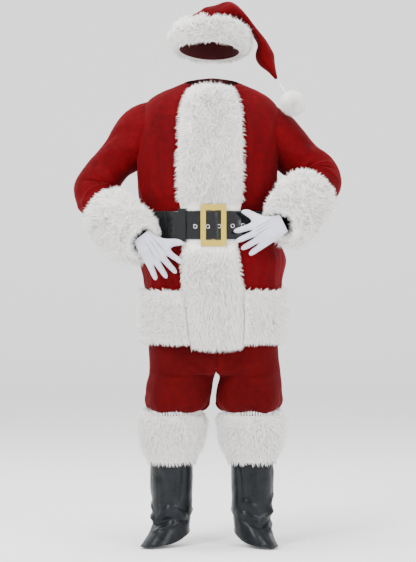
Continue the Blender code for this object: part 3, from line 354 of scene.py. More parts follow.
def row_at(table, height):
    """The row number at which a table that runs downwards reaches a height."""
    low, high = 0.0, float(len(table) - 1)
    for _ in range(40):
        middle = (low + high) / 2
        if read_table(table, middle).height > height:
            low = middle
        else:
            high = middle
    return low


def folds_height(folds, turn, row):
    """How far the folds lift the cloth at one place."""
    lift = 0.0
    for fold in folds:
        across = math.remainder(turn - fold.turn, FULL_TURN) / fold.turn_spread
        along = (row - fold.row) / fold.row_spread
        lift += fold.height * math.exp(-across * across - along * along)
    return lift


def polar_reach(turn, side, front, back, squareness):
    """The distance from a ring's middle to its outline; turn 0 is the front."""
    ahead = front if math.cos(turn) > 0 else back
    parts = abs(math.cos(turn) / ahead) ** squareness + abs(math.sin(turn) / side) ** squareness
    return parts ** (-1 / squareness)


def around(cells):
    return [FULL_TURN * i / cells for i in range(cells)]


class Surface:
    """The outside of a garment: a point for each turn round it and row down it."""

    def __init__(self, place, middle, folds=(), slack=None):
        self.place = place
        self.middle = middle
        self.folds = folds
        self.slack = slack or (lambda row: 1.0)

    def at(self, turn, row, out=0.0):
        """The point that lies out metres off the surface."""
        here = self.place(turn, row)
        across = self.place(turn + TINY_STEP, row) - self.place(turn - TINY_STEP, row)
        down = self.place(turn, row + TINY_STEP) - self.place(turn, row - TINY_STEP)
        normal = across.cross(down).normalized()
        if normal.dot(here - self.middle(row)) < 0:
            normal.negate()
        return here + normal * (out + self.slack(row) * folds_height(self.folds, turn, row))


# %% ring, tube and leg surfaces
def ring_surface(table, squareness, folds=(), foot=None, slack=None):
    """A surface through rings such as the torso's, or a boot's turned with its foot."""
    base = Vector((foot.x, foot.y, 0)) if foot else Vector((0, 0, 0))
    turned = Matrix.Rotation(foot.outwards if foot else 0.0, 3, "Z")

    def middle(row):
        ring = read_table(table, row)
        return base + Vector((ring.shift, 0, ring.height))

    def place(turn, row):
        ring = read_table(table, row)
        reach = polar_reach(turn, ring.side, ring.front, ring.back, squareness)
        x, y = reach * math.sin(turn), -reach * math.cos(turn)
        return middle(row) + turned @ Vector((x, y, -ring.dip * math.cos(turn)))

    return Surface(place, middle, folds, slack)


def tube_surface(table, side, folds=()):
    """A surface round a bent tube; turn 0 is its outer side, a quarter turn its back."""

    def middle(row):
        station = read_table(table, row)
        return Vector((station.x, station.y, station.z))

    def place(turn, row):
        station = read_table(table, row)
        ahead = (middle(row + TINY_STEP) - middle(row - TINY_STEP)).normalized()
        backwards = Vector((0, 1, 0)) - ahead * ahead.y
        backwards.normalize()
        outwards = backwards.cross(ahead) * side
        width = station.outer if math.cos(turn) > 0 else station.inner
        reach = polar_reach(turn, station.depth, width, width, 2.0)
        return middle(row) + outwards * reach * math.cos(turn) + backwards * reach * math.sin(turn)

    return Surface(place, middle, folds)


TORSO_SQUARENESS = 2.3
TROUSERS_MIDDLE = 0.010
LEG_OPENS_AT = math.radians(60)


def leg_surface(table, side, folds=()):
    """A trouser leg: half a hip ring with a straight inner side, closing into a tube.

    Turn runs from 0 at the centre front over the outside to half a turn at the
    centre back, and on to a full turn along the inside of the leg.
    """

    def middle(row):
        leg = read_table(table, row)
        return Vector(((leg.outer + leg.inner) / 2, 0.0, leg.height))

    def hip_point(leg, turn):
        centre = TROUSERS_MIDDLE + side * SEAM_GAP / 2
        if turn <= HALF_TURN:
            reach = polar_reach(turn, abs(leg.outer - centre), leg.front, leg.back, TORSO_SQUARENESS)
            return Vector((centre + side * reach * math.sin(turn), -reach * math.cos(turn), leg.height))
        share = (turn - HALF_TURN) / HALF_TURN
        return Vector((centre, mix(leg.back, -leg.front, share), leg.height))

    def leg_point(leg, turn):
        if turn <= HALF_TURN:
            angle = mix(-LEG_OPENS_AT, HALF_TURN + LEG_OPENS_AT, turn / HALF_TURN)
        else:
            angle = mix(HALF_TURN + LEG_OPENS_AT, FULL_TURN - LEG_OPENS_AT, turn / HALF_TURN - 1)
        half = abs(leg.outer - leg.inner) / 2
        reach = polar_reach(angle, half, leg.front, leg.back, 2.1)
        x = (leg.outer + leg.inner) / 2 + side * reach * math.sin(angle)
        return Vector((x, -reach * math.cos(angle), leg.height))

    def place(turn, row):
        leg = read_table(table, row)
        turn = turn % FULL_TURN
        return hip_point(leg, turn).lerp(leg_point(leg, turn), max(0.0, min(1.0, leg.closed)))

    return Surface(place, middle, folds)


print("surfaces ready")

# %% [markdown]
# ## From a surface to dense cloth
# A garment's skin is a grid of points about 8 mm apart. Each crease is a short line laid
# on the turns and rows: across it the cloth rises or sinks as a soft ridge, and
# along it the ridge swells and dies away. Slow noise loosens what is left.

# %% creases
Crease = namedtuple("Crease", "turn row turn_to row_to width height bend")


def beside(turns, seam):
    """The turns counted from a seam, from minus to plus half a turn."""
    return (turns - seam + HALF_TURN) % FULL_TURN - HALF_TURN


def relief(turns, rows, creases, round_metres, row_metres):
    """The height of hand-laid creases at grids of turns and rows."""
    height = np.zeros_like(turns)
    for crease in creases:
        x, y = beside(turns, crease.turn) * round_metres, (rows - crease.row) * row_metres
        end = np.array([crease.turn_to - crease.turn, crease.row_to - crease.row])
        end = end * (round_metres, row_metres)
        length = float(np.hypot(*end))
        along = (x * end[0] + y * end[1]) / (length * length)
        off = (x * end[1] - y * end[0]) / length - crease.bend * (1 - (2 * along - 1) ** 2)
        swell = np.exp(-np.maximum(0.0, np.abs(along - 0.5) - 0.28) ** 2 / 0.035)
        height += crease.height * swell * np.exp(-(off / crease.width) ** 2)
    return height


def grid_noise(places, size, seed):
    """Soft noise from -1 to 1 at a grid of points, with features size metres across."""
    flat = places.reshape(-1, 3) / size + seed * 7.31
    values = [noise.noise(Vector(spot)) for spot in flat]
    return np.array(values).reshape(places.shape[:2])


def surface_grid(surface, turns, rows):
    """Points and outward normals of a surface, with the turn and the row of each."""
    places, normals = [], []
    for row in rows:
        for turn in turns:
            base = surface.at(turn, row)
            places.append(base)
            normals.append((surface.at(turn, row, 0.01) - base) * 100)
    shape = (len(rows), len(places) // len(rows), 3)
    turn_grid, row_grid = np.meshgrid(turns, rows)
    return np.array(places).reshape(shape), np.array(normals).reshape(shape), turn_grid, row_grid


def add_mesh(name, points, faces, materials, face_materials=None, uv=None):
    """One object from arrays of points and faces."""
    mesh = bpy.data.meshes.new(name)
    points = np.asarray(points, dtype=np.float32)
    faces = np.asarray(faces, dtype=np.int32)
    corners = faces.shape[1]
    mesh.vertices.add(len(points))
    mesh.vertices.foreach_set("co", points.ravel())
    mesh.loops.add(faces.size)
    mesh.loops.foreach_set("vertex_index", faces.ravel())
    mesh.polygons.add(len(faces))
    mesh.polygons.foreach_set("loop_start", np.arange(0, faces.size, corners, dtype=np.int32))
    for material in materials:
        mesh.materials.append(material)
    if face_materials is not None:
        mesh.polygons.foreach_set("material_index", np.asarray(face_materials, dtype=np.int32))
    if uv is not None:
        layer = mesh.uv_layers.new(name="UVMap")
        layer.data.foreach_set("uv", np.asarray(uv, dtype=np.float32)[faces.ravel()].ravel())
    mesh.update(calc_edges=True)
    mesh.validate()
    mesh.shade_smooth()
    thing = bpy.data.objects.new(name, mesh)
    bpy.context.scene.collection.objects.link(thing)
    return thing


def closed_up(thing, caps=()):
    """Drops unused points, adds the end caps, turns the faces outwards and tells the area."""
    mesh = bmesh.new()
    mesh.from_mesh(thing.data)
    mesh.verts.ensure_lookup_table()
    for cap in caps:
        mesh.faces.new([mesh.verts[i] for i in cap])
    loose = [vert for vert in mesh.verts if not vert.link_faces]
    bmesh.ops.delete(mesh, geom=loose, context="VERTS")
    bmesh.ops.recalc_face_normals(mesh, faces=mesh.faces)
    area = sum(face.calc_area() for face in mesh.faces)
    mesh.to_mesh(thing.data)
    mesh.free()
    return area


def from_bmesh(name, mesh, material):
    """A smooth object with one material, from a bmesh that isn't needed any more."""
    data = bpy.data.meshes.new(name)
    mesh.to_mesh(data)
    mesh.free()
    data.shade_smooth()
    data.materials.clear()
    data.materials.append(material)
    thing = bpy.data.objects.new(name, data)
    bpy.context.scene.collection.objects.link(thing)
    return thing


def shell_faces(kept, wraps):
    """Faces of a closed wall: both skins, and a rim along every open edge.

    kept tells, for a grid of rows x columns points, which points are used.
    """
    rows, columns = kept.shape
    size = rows * columns
    index = np.arange(size).reshape(rows, columns)
    whole = np.where(kept, index, -1)
    nearer = whole if wraps else whole[:, :-1]
    further = np.roll(whole, -1, axis=1) if wraps else whole[:, 1:]
    skin = np.stack([nearer[:-1], further[:-1], further[1:], nearer[1:]], axis=-1).reshape(-1, 4)
    skin = skin[(skin >= 0).all(axis=1)]
    starts, ends = skin.ravel(), np.roll(skin, -1, axis=1).ravel()
    used = set(zip(starts.tolist(), ends.tolist()))
    rim = np.array([(b, a, a + size, b + size) for a, b in used if (b, a) not in used])
    faces = np.concatenate([skin, skin[:, ::-1] + size, rim])
    kinds = np.concatenate([np.zeros(len(skin)), np.ones(len(skin)), np.zeros(len(rim))])
    return faces, kinds


def cloth(name, places, normals, height, thick, materials, wraps, kept=None):
    """A closed cloth wall whose outside is lifted by a height at every point."""
    outer = places + normals * height[..., None]
    if wraps:
        beside = np.roll(outer, -1, axis=1) - np.roll(outer, 1, axis=1)
    else:
        beside = np.gradient(outer, axis=1)
    facing = np.cross(np.gradient(outer, axis=0), beside)
    facing /= np.linalg.norm(facing, axis=2, keepdims=True) + 1e-12
    facing *= np.sign(np.sum(facing * normals, axis=2, keepdims=True))
    inner = outer - facing * thick
    if kept is None:
        kept = np.ones(height.shape, dtype=bool)
    faces, kinds = shell_faces(kept, wraps)
    points = np.concatenate([outer.reshape(-1, 3), inner.reshape(-1, 3)])
    thing = add_mesh(name, points, faces, materials, kinds)
    area = closed_up(thing) / 2
    print(name, "faces", len(thing.data.polygons), "cloth area", round(area, 3))
    return thing


def fine(start, end, cells):
    return [float(value) for value in np.linspace(start, end, cells + 1)]


# %% [markdown]
# ## The jacket body
# Two fronts and a back meet at the side seams. Long creases run down from each armhole,
# short gathers stand above and below the belt, which presses them flat, and the back
# has drag lines between the shoulder blades and the belt.

# %% the torso's rings and their broad folds
Ring = namedtuple("Ring", "height side front back shift dip")
TORSO = named(Ring, [
    (0.024, 0.086, 0.076, 0.070, -0.004, 0.020),
    (0.012, 0.118, 0.090, 0.084, -0.005, 0.016),
    (-0.008, 0.165, 0.108, 0.098, -0.006, 0.010),
    (-0.036, 0.206, 0.128, 0.110, -0.008, 0.006),
    (-0.080, 0.232, 0.148, 0.124, -0.010, 0.002),
    (-0.145, 0.241, 0.168, 0.136, -0.013, 0.0),
    (-0.215, 0.237, 0.180, 0.143, -0.016, 0.0),
    (-0.290, 0.232, 0.190, 0.146, -0.018, 0.0),
    (-0.350, 0.231, 0.194, 0.145, -0.016, 0.0),
    (-0.400, 0.226, 0.190, 0.141, -0.012, 0.0),
    (-0.450, 0.222, 0.187, 0.139, -0.008, 0.0),
    (-0.500, 0.228, 0.191, 0.142, -0.005, 0.0),
    (-0.560, 0.242, 0.201, 0.150, -0.003, 0.0),
    (-0.620, 0.230, 0.200, 0.150, 0.0, 0.0),
    (-0.665, 0.226, 0.198, 0.150, 0.0, 0.0),
    (-0.740, 0.223, 0.197, 0.150, 0.0, 0.0),
    (-0.815, 0.220, 0.194, 0.148, 0.0, 0.0),
    (-0.850, 0.217, 0.190, 0.146, 0.0, 0.0),
])

Fold = namedtuple("Fold", "turn row turn_spread row_spread height")
JACKET_FOLDS = named(Fold, [
    (-1.15, 6.5, 0.16, 1.6, 0.007),
    (-0.80, 6.0, 0.14, 1.4, -0.005),
    (1.10, 6.2, 0.15, 1.5, 0.006),
    (0.78, 6.0, 0.14, 1.2, -0.005),
    (2.30, 7.0, 0.20, 2.0, 0.007),
    (-2.40, 7.4, 0.20, 1.8, 0.006),
    (3.05, 5.5, 0.22, 1.6, 0.005),
    (-0.62, 12.0, 0.16, 0.9, 0.005),
    (0.70, 12.1, 0.15, 0.9, 0.005),
    (1.75, 12.0, 0.18, 1.0, 0.005),
    (-1.90, 12.1, 0.18, 1.0, 0.005),
    (2.70, 12.0, 0.18, 1.0, 0.006),
])

BELT_MIDDLE = -0.4515
BELT_TALL = 0.094
BELT_PRESSES_ROWS = 1.1
SIDE_SEAM = math.radians(95)


def slack_beside_belt(row):
    """The belt presses the jacket's folds flat: 0 under it, 1 a row away from it."""
    away = abs(row - row_at(TORSO, BELT_MIDDLE)) - BELT_PRESSES_ROWS
    return max(0.0, min(1.0, away))


JACKET = ring_surface(TORSO, TORSO_SQUARENESS, JACKET_FOLDS, slack=slack_beside_belt)
BODICE = ring_surface(TORSO, TORSO_SQUARENESS)
BELT_ROW = row_at(TORSO, BELT_MIDDLE)
print("belt row", round(BELT_ROW, 2))

# %% jacket creases
JACKET_CREASES = named(Crease, [
    (-1.02, 3.2, -0.78, 7.6, 0.011, 0.0060, 0.012),
    (-1.22, 4.4, -1.00, 8.6, 0.012, -0.0060, 0.008),
    (-0.86, 5.0, -0.70, 8.7, 0.009, -0.0042, -0.008),
    (-1.38, 5.6, -1.12, 8.8, 0.010, 0.0055, 0.006),
    (-0.66, 3.4, -0.60, 6.2, 0.012, 0.0032, 0.010),
    (0.98, 3.0, 0.74, 7.2, 0.011, 0.0058, -0.012),
    (1.20, 4.6, 0.96, 8.5, 0.012, -0.0058, -0.008),
    (0.82, 5.2, 0.68, 8.6, 0.009, -0.0040, 0.007),
    (1.36, 5.4, 1.12, 8.8, 0.010, 0.0055, -0.006),
    (0.64, 3.0, 0.60, 5.6, 0.012, 0.0030, -0.010),
    (-0.72, 8.3, -0.68, 7.2, 0.006, 0.0036, 0.003),
    (-0.92, 8.4, -0.96, 7.4, 0.006, 0.0038, -0.003),
    (0.70, 8.3, 0.64, 7.0, 0.006, 0.0036, -0.003),
    (0.90, 8.4, 0.95, 7.5, 0.006, 0.0038, 0.003),
    (-0.62, 11.2, -0.56, 13.4, 0.010, 0.0050, -0.008),
    (-0.84, 11.2, -0.80, 14.0, 0.011, -0.0050, 0.006),
    (-1.06, 11.2, -1.10, 14.2, 0.010, 0.0050, 0.008),
    (-1.30, 11.2, -1.38, 13.8, 0.010, -0.0044, 0.006),
    (0.58, 11.2, 0.54, 13.6, 0.010, 0.0048, 0.008),
    (0.80, 11.2, 0.80, 14.1, 0.011, -0.0052, -0.006),
    (1.02, 11.2, 1.10, 14.0, 0.010, 0.0050, -0.008),
    (1.28, 11.2, 1.36, 14.2, 0.010, -0.0045, -0.006),
    (1.80, 4.2, 2.25, 8.5, 0.012, 0.0060, 0.012),
    (2.10, 3.6, 2.60, 8.2, 0.012, -0.0055, 0.012),
    (-1.82, 4.4, -2.20, 8.6, 0.012, 0.0060, -0.012),
    (-2.14, 3.8, -2.62, 8.0, 0.012, -0.0055, -0.012),
    (2.86, 5.8, 2.92, 8.7, 0.010, 0.0050, 0.006),
    (-2.90, 6.2, -2.84, 8.8, 0.010, 0.0046, -0.006),
    (3.12, 6.6, 3.10, 8.8, 0.009, -0.0040, 0.004),
    (1.70, 11.2, 1.62, 14.0, 0.010, 0.0048, 0.008),
    (2.05, 11.2, 2.10, 14.4, 0.011, -0.0048, 0.006),
    (2.42, 11.2, 2.48, 13.8, 0.010, 0.0050, -0.006),
    (2.85, 11.2, 2.80, 14.2, 0.011, -0.0046, 0.006),
    (-1.72, 11.2, -1.66, 14.1, 0.010, 0.0048, -0.008),
    (-2.08, 11.2, -2.16, 14.2, 0.011, -0.0048, 0.006),
    (-2.50, 11.2, -2.46, 13.9, 0.010, 0.0050, 0.006),
    (-2.88, 11.2, -2.92, 14.3, 0.011, -0.0046, -0.006),
    (3.14, 11.2, 3.10, 13.6, 0.010, 0.0044, 0.004),
])
print("creases", len(JACKET_CREASES))

# %% armholes and the jacket body
VELVET_THICK = 0.002
Station = namedtuple("Station", "x y z outer inner depth")
SLEEVE_RIGHT = named(Station, [
    (-0.160, 0.005, -0.125, 0.098, 0.098, 0.092),
    (-0.235, 0.008, -0.160, 0.104, 0.086, 0.088),
    (-0.307, 0.010, -0.218, 0.071, 0.067, 0.076),
    (-0.360, 0.008, -0.280, 0.068, 0.067, 0.074),
    (-0.384, 0.000, -0.335, 0.079, 0.072, 0.074),
    (-0.372, -0.030, -0.380, 0.066, 0.070, 0.072),
    (-0.342, -0.075, -0.412, 0.072, 0.070, 0.070),
    (-0.293, -0.146, -0.452, 0.068, 0.062, 0.062),
    (-0.237, -0.211, -0.492, 0.058, 0.054, 0.054),
    (-0.181, -0.276, -0.532, 0.052, 0.050, 0.048),
])
SLEEVE_LEFT = named(Station, [
    (0.148, 0.005, -0.130, 0.098, 0.098, 0.092),
    (0.215, 0.008, -0.170, 0.092, 0.084, 0.088),
    (0.290, 0.008, -0.229, 0.070, 0.070, 0.076),
    (0.334, 0.002, -0.270, 0.074, 0.070, 0.074),
    (0.346, -0.015, -0.302, 0.080, 0.072, 0.074),
    (0.336, -0.045, -0.328, 0.076, 0.072, 0.072),
    (0.315, -0.082, -0.350, 0.076, 0.072, 0.070),
    (0.273, -0.150, -0.395, 0.070, 0.066, 0.064),
    (0.228, -0.214, -0.440, 0.058, 0.056, 0.054),
    (0.183, -0.278, -0.485, 0.052, 0.050, 0.048),
])
SLEEVE_FOLDS = named(Fold, [
    (3.2, 1.9, 0.8, 0.35, 0.006),
    (4.0, 3.9, 0.6, 0.30, 0.006),
    (2.6, 4.5, 0.6, 0.28, 0.005),
    (5.2, 2.8, 0.5, 0.50, -0.004),
])
SLEEVES = {
    "right": tube_surface(SLEEVE_RIGHT, 1, SLEEVE_FOLDS),
    "left": tube_surface(SLEEVE_LEFT, -1, SLEEVE_FOLDS),
}


def ring_faces(rings, columns):
    """The quads between rings of points that follow each other."""
    faces = []
    for first in range(0, (rings - 1) * columns, columns):
        for i in range(columns):
            j = (i + 1) % columns
            faces.append((first + i, first + j, first + columns + j, first + columns + i))
    return faces


def tube_tree(surface, rows, cells, out):
    """A search tree of a capped tube, to tell what lies inside a sleeve."""
    points = [surface.at(turn, row, out) for row in rows for turn in around(cells)]
    last = (len(rows) - 1) * cells
    caps = [tuple(range(cells)), tuple(range(last, last + cells))]
    return BVHTree.FromPolygons(points, ring_faces(len(rows), cells) + caps)


def is_inside(tree, point):
    """Counts crossings of a line in a slanting direction."""
    heading = Vector((0.31, -0.17, 0.93)).normalized()
    spot, crossings = Vector(point), 0
    for _ in range(12):
        hit = tree.ray_cast(spot, heading)
        if hit[0] is None:
            break
        crossings += 1
        spot = hit[0] + heading * 0.00001
    return crossings % 2 == 1


def outside(places, trees):
    """Which points of a grid lie outside every tree."""
    flat = [not any(is_inside(tree, spot) for tree in trees) for spot in places.reshape(-1, 3)]
    return np.array(flat).reshape(places.shape[:2])


def smooth_step(value):
    value = np.clip(value, 0.0, 1.0)
    return value * value * (3 - 2 * value)


def jacket_height(places, turns, rows):
    height = relief(turns, rows, JACKET_CREASES, 0.205, 0.055)
    height += grid_noise(places, 0.085, 1) * 0.0022 + grid_noise(places, 0.030, 2) * 0.0009
    away = np.clip(np.abs(rows - BELT_ROW) - 0.95, 0.0, 1.0)
    height *= smooth_step(away) * smooth_step((17.4 - rows) / 1.0 + 0.2)
    under_belt = 1 - smooth_step((np.abs(rows - BELT_ROW) - 0.9) / 0.5)
    height -= 0.0004 * under_belt
    for seam in (SIDE_SEAM, -SIDE_SEAM):
        height -= 0.0022 * np.exp(-(beside(turns, seam) * 0.19 / 0.0032) ** 2)
    return height


BODY_ROWS = fine(0.0, 16.8, 120)
BODY_TURNS = around(152)
body_places, body_normals, turn_grid, row_grid = surface_grid(JACKET, BODY_TURNS, BODY_ROWS)
body_height = jacket_height(body_places, turn_grid, row_grid)
armholes = [tube_tree(SLEEVES[side], fine(0.0, 2.0, 8), 48, -0.013) for side in ("right", "left")]
jacket_body = cloth(
    "jacket_body", body_places, body_normals, body_height, VELVET_THICK,
    (jacket_velvet, velvet_back), wraps=True, kept=outside(body_places, armholes),
)
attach(jacket_body, "root")
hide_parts("jacket_front_right", "jacket_front_left", "jacket_back")

# %% [markdown]
# ## The sleeves
# Each sleeve is a bent tube. It starts inside the body, and what lies inside is cut off,
# so that it meets the armhole. Creases crowd in the bend of the elbow and radiate from
# it; above the cuff the cloth is gathered.

# %% sleeve creases
SLEEVE_CREASES = {
    "right": named(Crease, [
        (2.3, 4.2, 4.4, 4.5, 0.006, -0.0070, 0.004),
        (2.6, 4.7, 4.7, 5.1, 0.006, -0.0060, -0.004),
        (2.2, 3.8, 4.2, 3.6, 0.008, -0.0055, -0.004),
        (3.4, 4.4, 5.3, 4.9, 0.007, 0.0050, 0.006),
        (4.0, 3.2, 5.6, 3.0, 0.009, 0.0050, -0.006),
        (3.8, 3.6, 5.5, 3.9, 0.008, -0.0052, 0.004),
        (3.6, 2.4, 5.2, 1.9, 0.010, 0.0048, 0.006),
        (3.2, 2.9, 4.9, 2.6, 0.009, -0.0046, -0.005),
        (4.3, 1.3, 5.4, 2.6, 0.011, 0.0040, 0.010),
        (4.9, 1.0, 5.9, 2.3, 0.011, -0.0040, 0.010),
        (5.2, 5.2, 6.5, 4.6, 0.010, 0.0045, 0.006),
        (4.6, 5.9, 4.9, 5.1, 0.006, 0.0036, 0.003),
        (5.3, 5.9, 5.4, 5.0, 0.006, 0.0036, -0.003),
        (5.9, 5.9, 5.8, 5.2, 0.006, 0.0034, 0.003),
        (0.3, 5.9, 0.2, 5.0, 0.006, 0.0036, -0.003),
        (1.0, 5.9, 1.1, 5.1, 0.006, 0.0036, 0.003),
        (1.7, 5.9, 1.8, 5.0, 0.006, 0.0036, -0.003),
        (3.9, 5.9, 4.1, 5.2, 0.006, 0.0034, 0.003),
        (0.6, 3.4, 1.9, 3.9, 0.011, 0.0042, 0.008),
        (0.4, 2.2, 1.7, 2.8, 0.012, -0.0040, 0.008),
        (1.0, 4.4, 2.3, 4.6, 0.010, 0.0045, -0.006),
    ]),
    "left": named(Crease, [
        (2.2, 4.4, 4.3, 4.1, 0.006, -0.0070, -0.004),
        (2.5, 5.0, 4.8, 4.8, 0.006, -0.0060, 0.004),
        (2.3, 3.7, 4.4, 3.5, 0.008, -0.0052, 0.004),
        (3.5, 4.6, 5.5, 4.4, 0.007, 0.0052, 0.006),
        (4.1, 3.1, 5.7, 3.4, 0.009, 0.0048, 0.006),
        (3.7, 3.8, 5.6, 3.9, 0.008, -0.0050, -0.004),
        (3.5, 2.2, 5.0, 2.5, 0.010, 0.0050, -0.006),
        (3.3, 2.8, 5.0, 2.9, 0.009, -0.0044, 0.005),
        (4.4, 1.2, 5.5, 2.4, 0.011, 0.0042, -0.010),
        (5.0, 1.1, 6.0, 2.2, 0.011, -0.0040, -0.010),
        (5.4, 5.3, 6.6, 4.8, 0.010, 0.0044, -0.006),
        (4.7, 5.9, 5.0, 5.2, 0.006, 0.0036, -0.003),
        (5.4, 5.9, 5.5, 5.1, 0.006, 0.0035, 0.003),
        (6.0, 5.9, 5.9, 5.3, 0.006, 0.0034, -0.003),
        (0.4, 5.9, 0.3, 5.1, 0.006, 0.0036, 0.003),
        (1.1, 5.9, 1.2, 5.0, 0.006, 0.0036, -0.003),
        (1.8, 5.9, 1.9, 5.1, 0.006, 0.0036, 0.003),
        (3.9, 5.9, 4.1, 5.2, 0.006, 0.0034, -0.003),
        (0.5, 3.0, 1.8, 3.6, 0.011, 0.0042, -0.008),
        (0.5, 2.0, 1.7, 2.4, 0.012, -0.0040, -0.008),
        (1.1, 4.2, 2.3, 4.5, 0.010, 0.0045, 0.006),
    ]),
}
CUFF_FROM_ROW = 5.9
print("creases", sum(len(creases) for creases in SLEEVE_CREASES.values()))

# %% sleeves
body_core = tube_tree(JACKET, fine(0.0, 11.0, 44), 96, -0.012)
SLEEVE_GRID_ROWS = fine(0.0, 8.0, 84)
SLEEVE_GRID_TURNS = around(66)
SLEEVE_NAMES = {"right": "jacket_sleeve_right", "left": "jacket_sleeve_left"}
for seed, (side, surface) in enumerate(SLEEVES.items()):
    places, normals, turn_grid, row_grid = surface_grid(surface, SLEEVE_GRID_TURNS, SLEEVE_GRID_ROWS)
    height = relief(turn_grid, row_grid, SLEEVE_CREASES[side], 0.070, 0.068)
    height += grid_noise(places, 0.060, 11 + seed) * 0.0022 + grid_noise(places, 0.024, 21 + seed) * 0.0008
    height *= smooth_step((CUFF_FROM_ROW + 0.35 - row_grid) / 0.4)
    sleeve = cloth(
        "sleeve_" + side, places, normals, height, VELVET_THICK,
        (jacket_velvet, velvet_back), wraps=True, kept=outside(places, [body_core]),
    )
    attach(sleeve, "root")
    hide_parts(SLEEVE_NAMES[side])

# %% [markdown]
# ## The trousers
# Each leg is half a hip ring that closes below the crotch, with creases that radiate
# from the crotch and short gathers where the end is tucked into the boot cover.

# %% the legs' tables
Leg = namedtuple("Leg", "height outer inner front back closed")
# Columns: height, right outer, right inner, left outer, left inner, front, back, closed
BOTH_LEGS = [
    (-0.540, -0.190, 0.010, 0.200, 0.010, 0.160, 0.120, 0.0),
    (-0.620, -0.200, 0.010, 0.206, 0.010, 0.165, 0.130, 0.0),
    (-0.720, -0.208, 0.010, 0.210, 0.010, 0.165, 0.135, 0.0),
    (-0.820, -0.213, 0.010, 0.213, 0.010, 0.158, 0.134, 0.0),
    (-0.880, -0.213, 0.010, 0.218, 0.010, 0.150, 0.130, 0.0),
    (-0.926, -0.212, 0.010, 0.223, 0.010, 0.140, 0.126, 0.0),
    (-0.948, -0.213, 0.003, 0.225, 0.022, 0.134, 0.124, 0.8),
    (-0.985, -0.223, -0.003, 0.228, 0.014, 0.128, 0.122, 1.0),
    (-1.030, -0.223, -0.010, 0.229, 0.010, 0.122, 0.116, 1.0),
    (-1.056, -0.215, -0.026, 0.218, 0.022, 0.104, 0.100, 1.0),
    (-1.073, -0.208, -0.060, 0.204, 0.055, 0.074, 0.074, 1.0),
    (-1.100, -0.201, -0.071, 0.194, 0.065, 0.064, 0.064, 1.0),
    (-1.150, -0.192, -0.080, 0.186, 0.073, 0.056, 0.056, 1.0),
]
LEGS = {"right": [], "left": []}
for height, *across, front, back, closed in BOTH_LEGS:
    LEGS["right"].append(Leg(height, *across[:2], front, back, closed))
    LEGS["left"].append(Leg(height, *across[2:], front, back, closed))
LEG_FOLDS = named(Fold, [
    (1.0, 8.6, 0.35, 0.8, 0.006),
    (2.1, 8.4, 0.30, 0.9, 0.007),
    (0.2, 7.8, 0.30, 1.2, 0.005),
    (2.8, 7.6, 0.30, 1.2, 0.006),
])

LEG_CREASES = named(Crease, [
    (0.12, 5.4, 0.95, 4.3, 0.009, 0.0046, 0.004),
    (0.12, 6.0, 1.10, 5.6, 0.010, -0.0046, 0.004),
    (0.10, 6.5, 1.00, 6.9, 0.010, 0.0044, -0.004),
    (0.30, 4.9, 0.70, 3.6, 0.009, -0.0036, 0.004),
    (2.95, 5.6, 2.10, 4.4, 0.010, 0.0044, -0.004),
    (2.90, 6.3, 2.05, 6.0, 0.010, -0.0044, 0.004),
    (0.30, 9.6, 0.24, 7.4, 0.008, 0.0052, 0.004),
    (0.62, 9.6, 0.58, 7.0, 0.009, -0.0050, -0.004),
    (0.96, 9.6, 1.00, 7.5, 0.009, 0.0056, 0.005),
    (1.34, 9.6, 1.32, 7.2, 0.009, -0.0052, -0.004),
    (1.70, 9.6, 1.76, 7.4, 0.009, 0.0054, 0.004),
    (2.06, 9.6, 2.02, 7.1, 0.009, -0.0050, 0.004),
    (2.42, 9.6, 2.46, 7.4, 0.009, 0.0052, -0.004),
    (2.80, 9.6, 2.76, 7.2, 0.009, -0.0048, 0.004),
    (3.40, 9.6, 3.44, 8.0, 0.009, 0.0046, 0.004),
    (4.20, 9.6, 4.14, 8.1, 0.009, -0.0046, 0.004),
    (5.00, 9.6, 5.06, 8.0, 0.009, 0.0046, -0.004),
    (5.80, 9.6, 5.76, 8.1, 0.009, -0.0046, 0.004),
])
LEG_ROWS = fine(0.0, 9.0, 58) + fine(9.0, 12.0, 14)[1:]
LEG_OUTER_TURNS = fine(0.0, HALF_TURN, 58)
LEG_INNER_TURNS = fine(HALF_TURN, FULL_TURN, 26)[1:-1]
LEG_CLOSES_FROM = 5.0
print("leg creases", len(LEG_CREASES))

# %% trouser legs
for seed, (side, sign) in enumerate((("right", -1), ("left", 1))):
    surface = leg_surface(LEGS[side], sign, LEG_FOLDS)
    turns = LEG_OUTER_TURNS + LEG_INNER_TURNS
    places, normals, turn_grid, row_grid = surface_grid(surface, turns, LEG_ROWS)
    height = relief(turn_grid, row_grid, LEG_CREASES, 0.085, 0.045)
    height += grid_noise(places, 0.055, 31 + seed) * 0.0022 + grid_noise(places, 0.022, 41 + seed) * 0.0008
    edge = np.minimum(turn_grid, np.abs(HALF_TURN - turn_grid))
    open_part = smooth_step((LEG_CLOSES_FROM + 0.8 - row_grid) / 0.8)
    height *= 1 - open_part * (1 - smooth_step(edge / 0.25))
    height *= smooth_step((10.4 - row_grid) / 0.8 + 0.25)

    kept = (row_grid >= LEG_CLOSES_FROM) | (turn_grid <= HALF_TURN + 0.001)
    leg = cloth(
        "trouser_leg_" + side, places, normals, height, VELVET_THICK,
        (trouser_velvet_shaded, velvet_back), wraps=True, kept=kept,
    )
    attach(leg, "root")
    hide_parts("trousers_leg_" + side)

# %% [markdown]
# ## The boot covers
# Satin vinyl, cut as an inner and an outer panel that are joined down the front and the
# back. The ankle is where the cover crumples: sharp creases meet in broad V shapes.

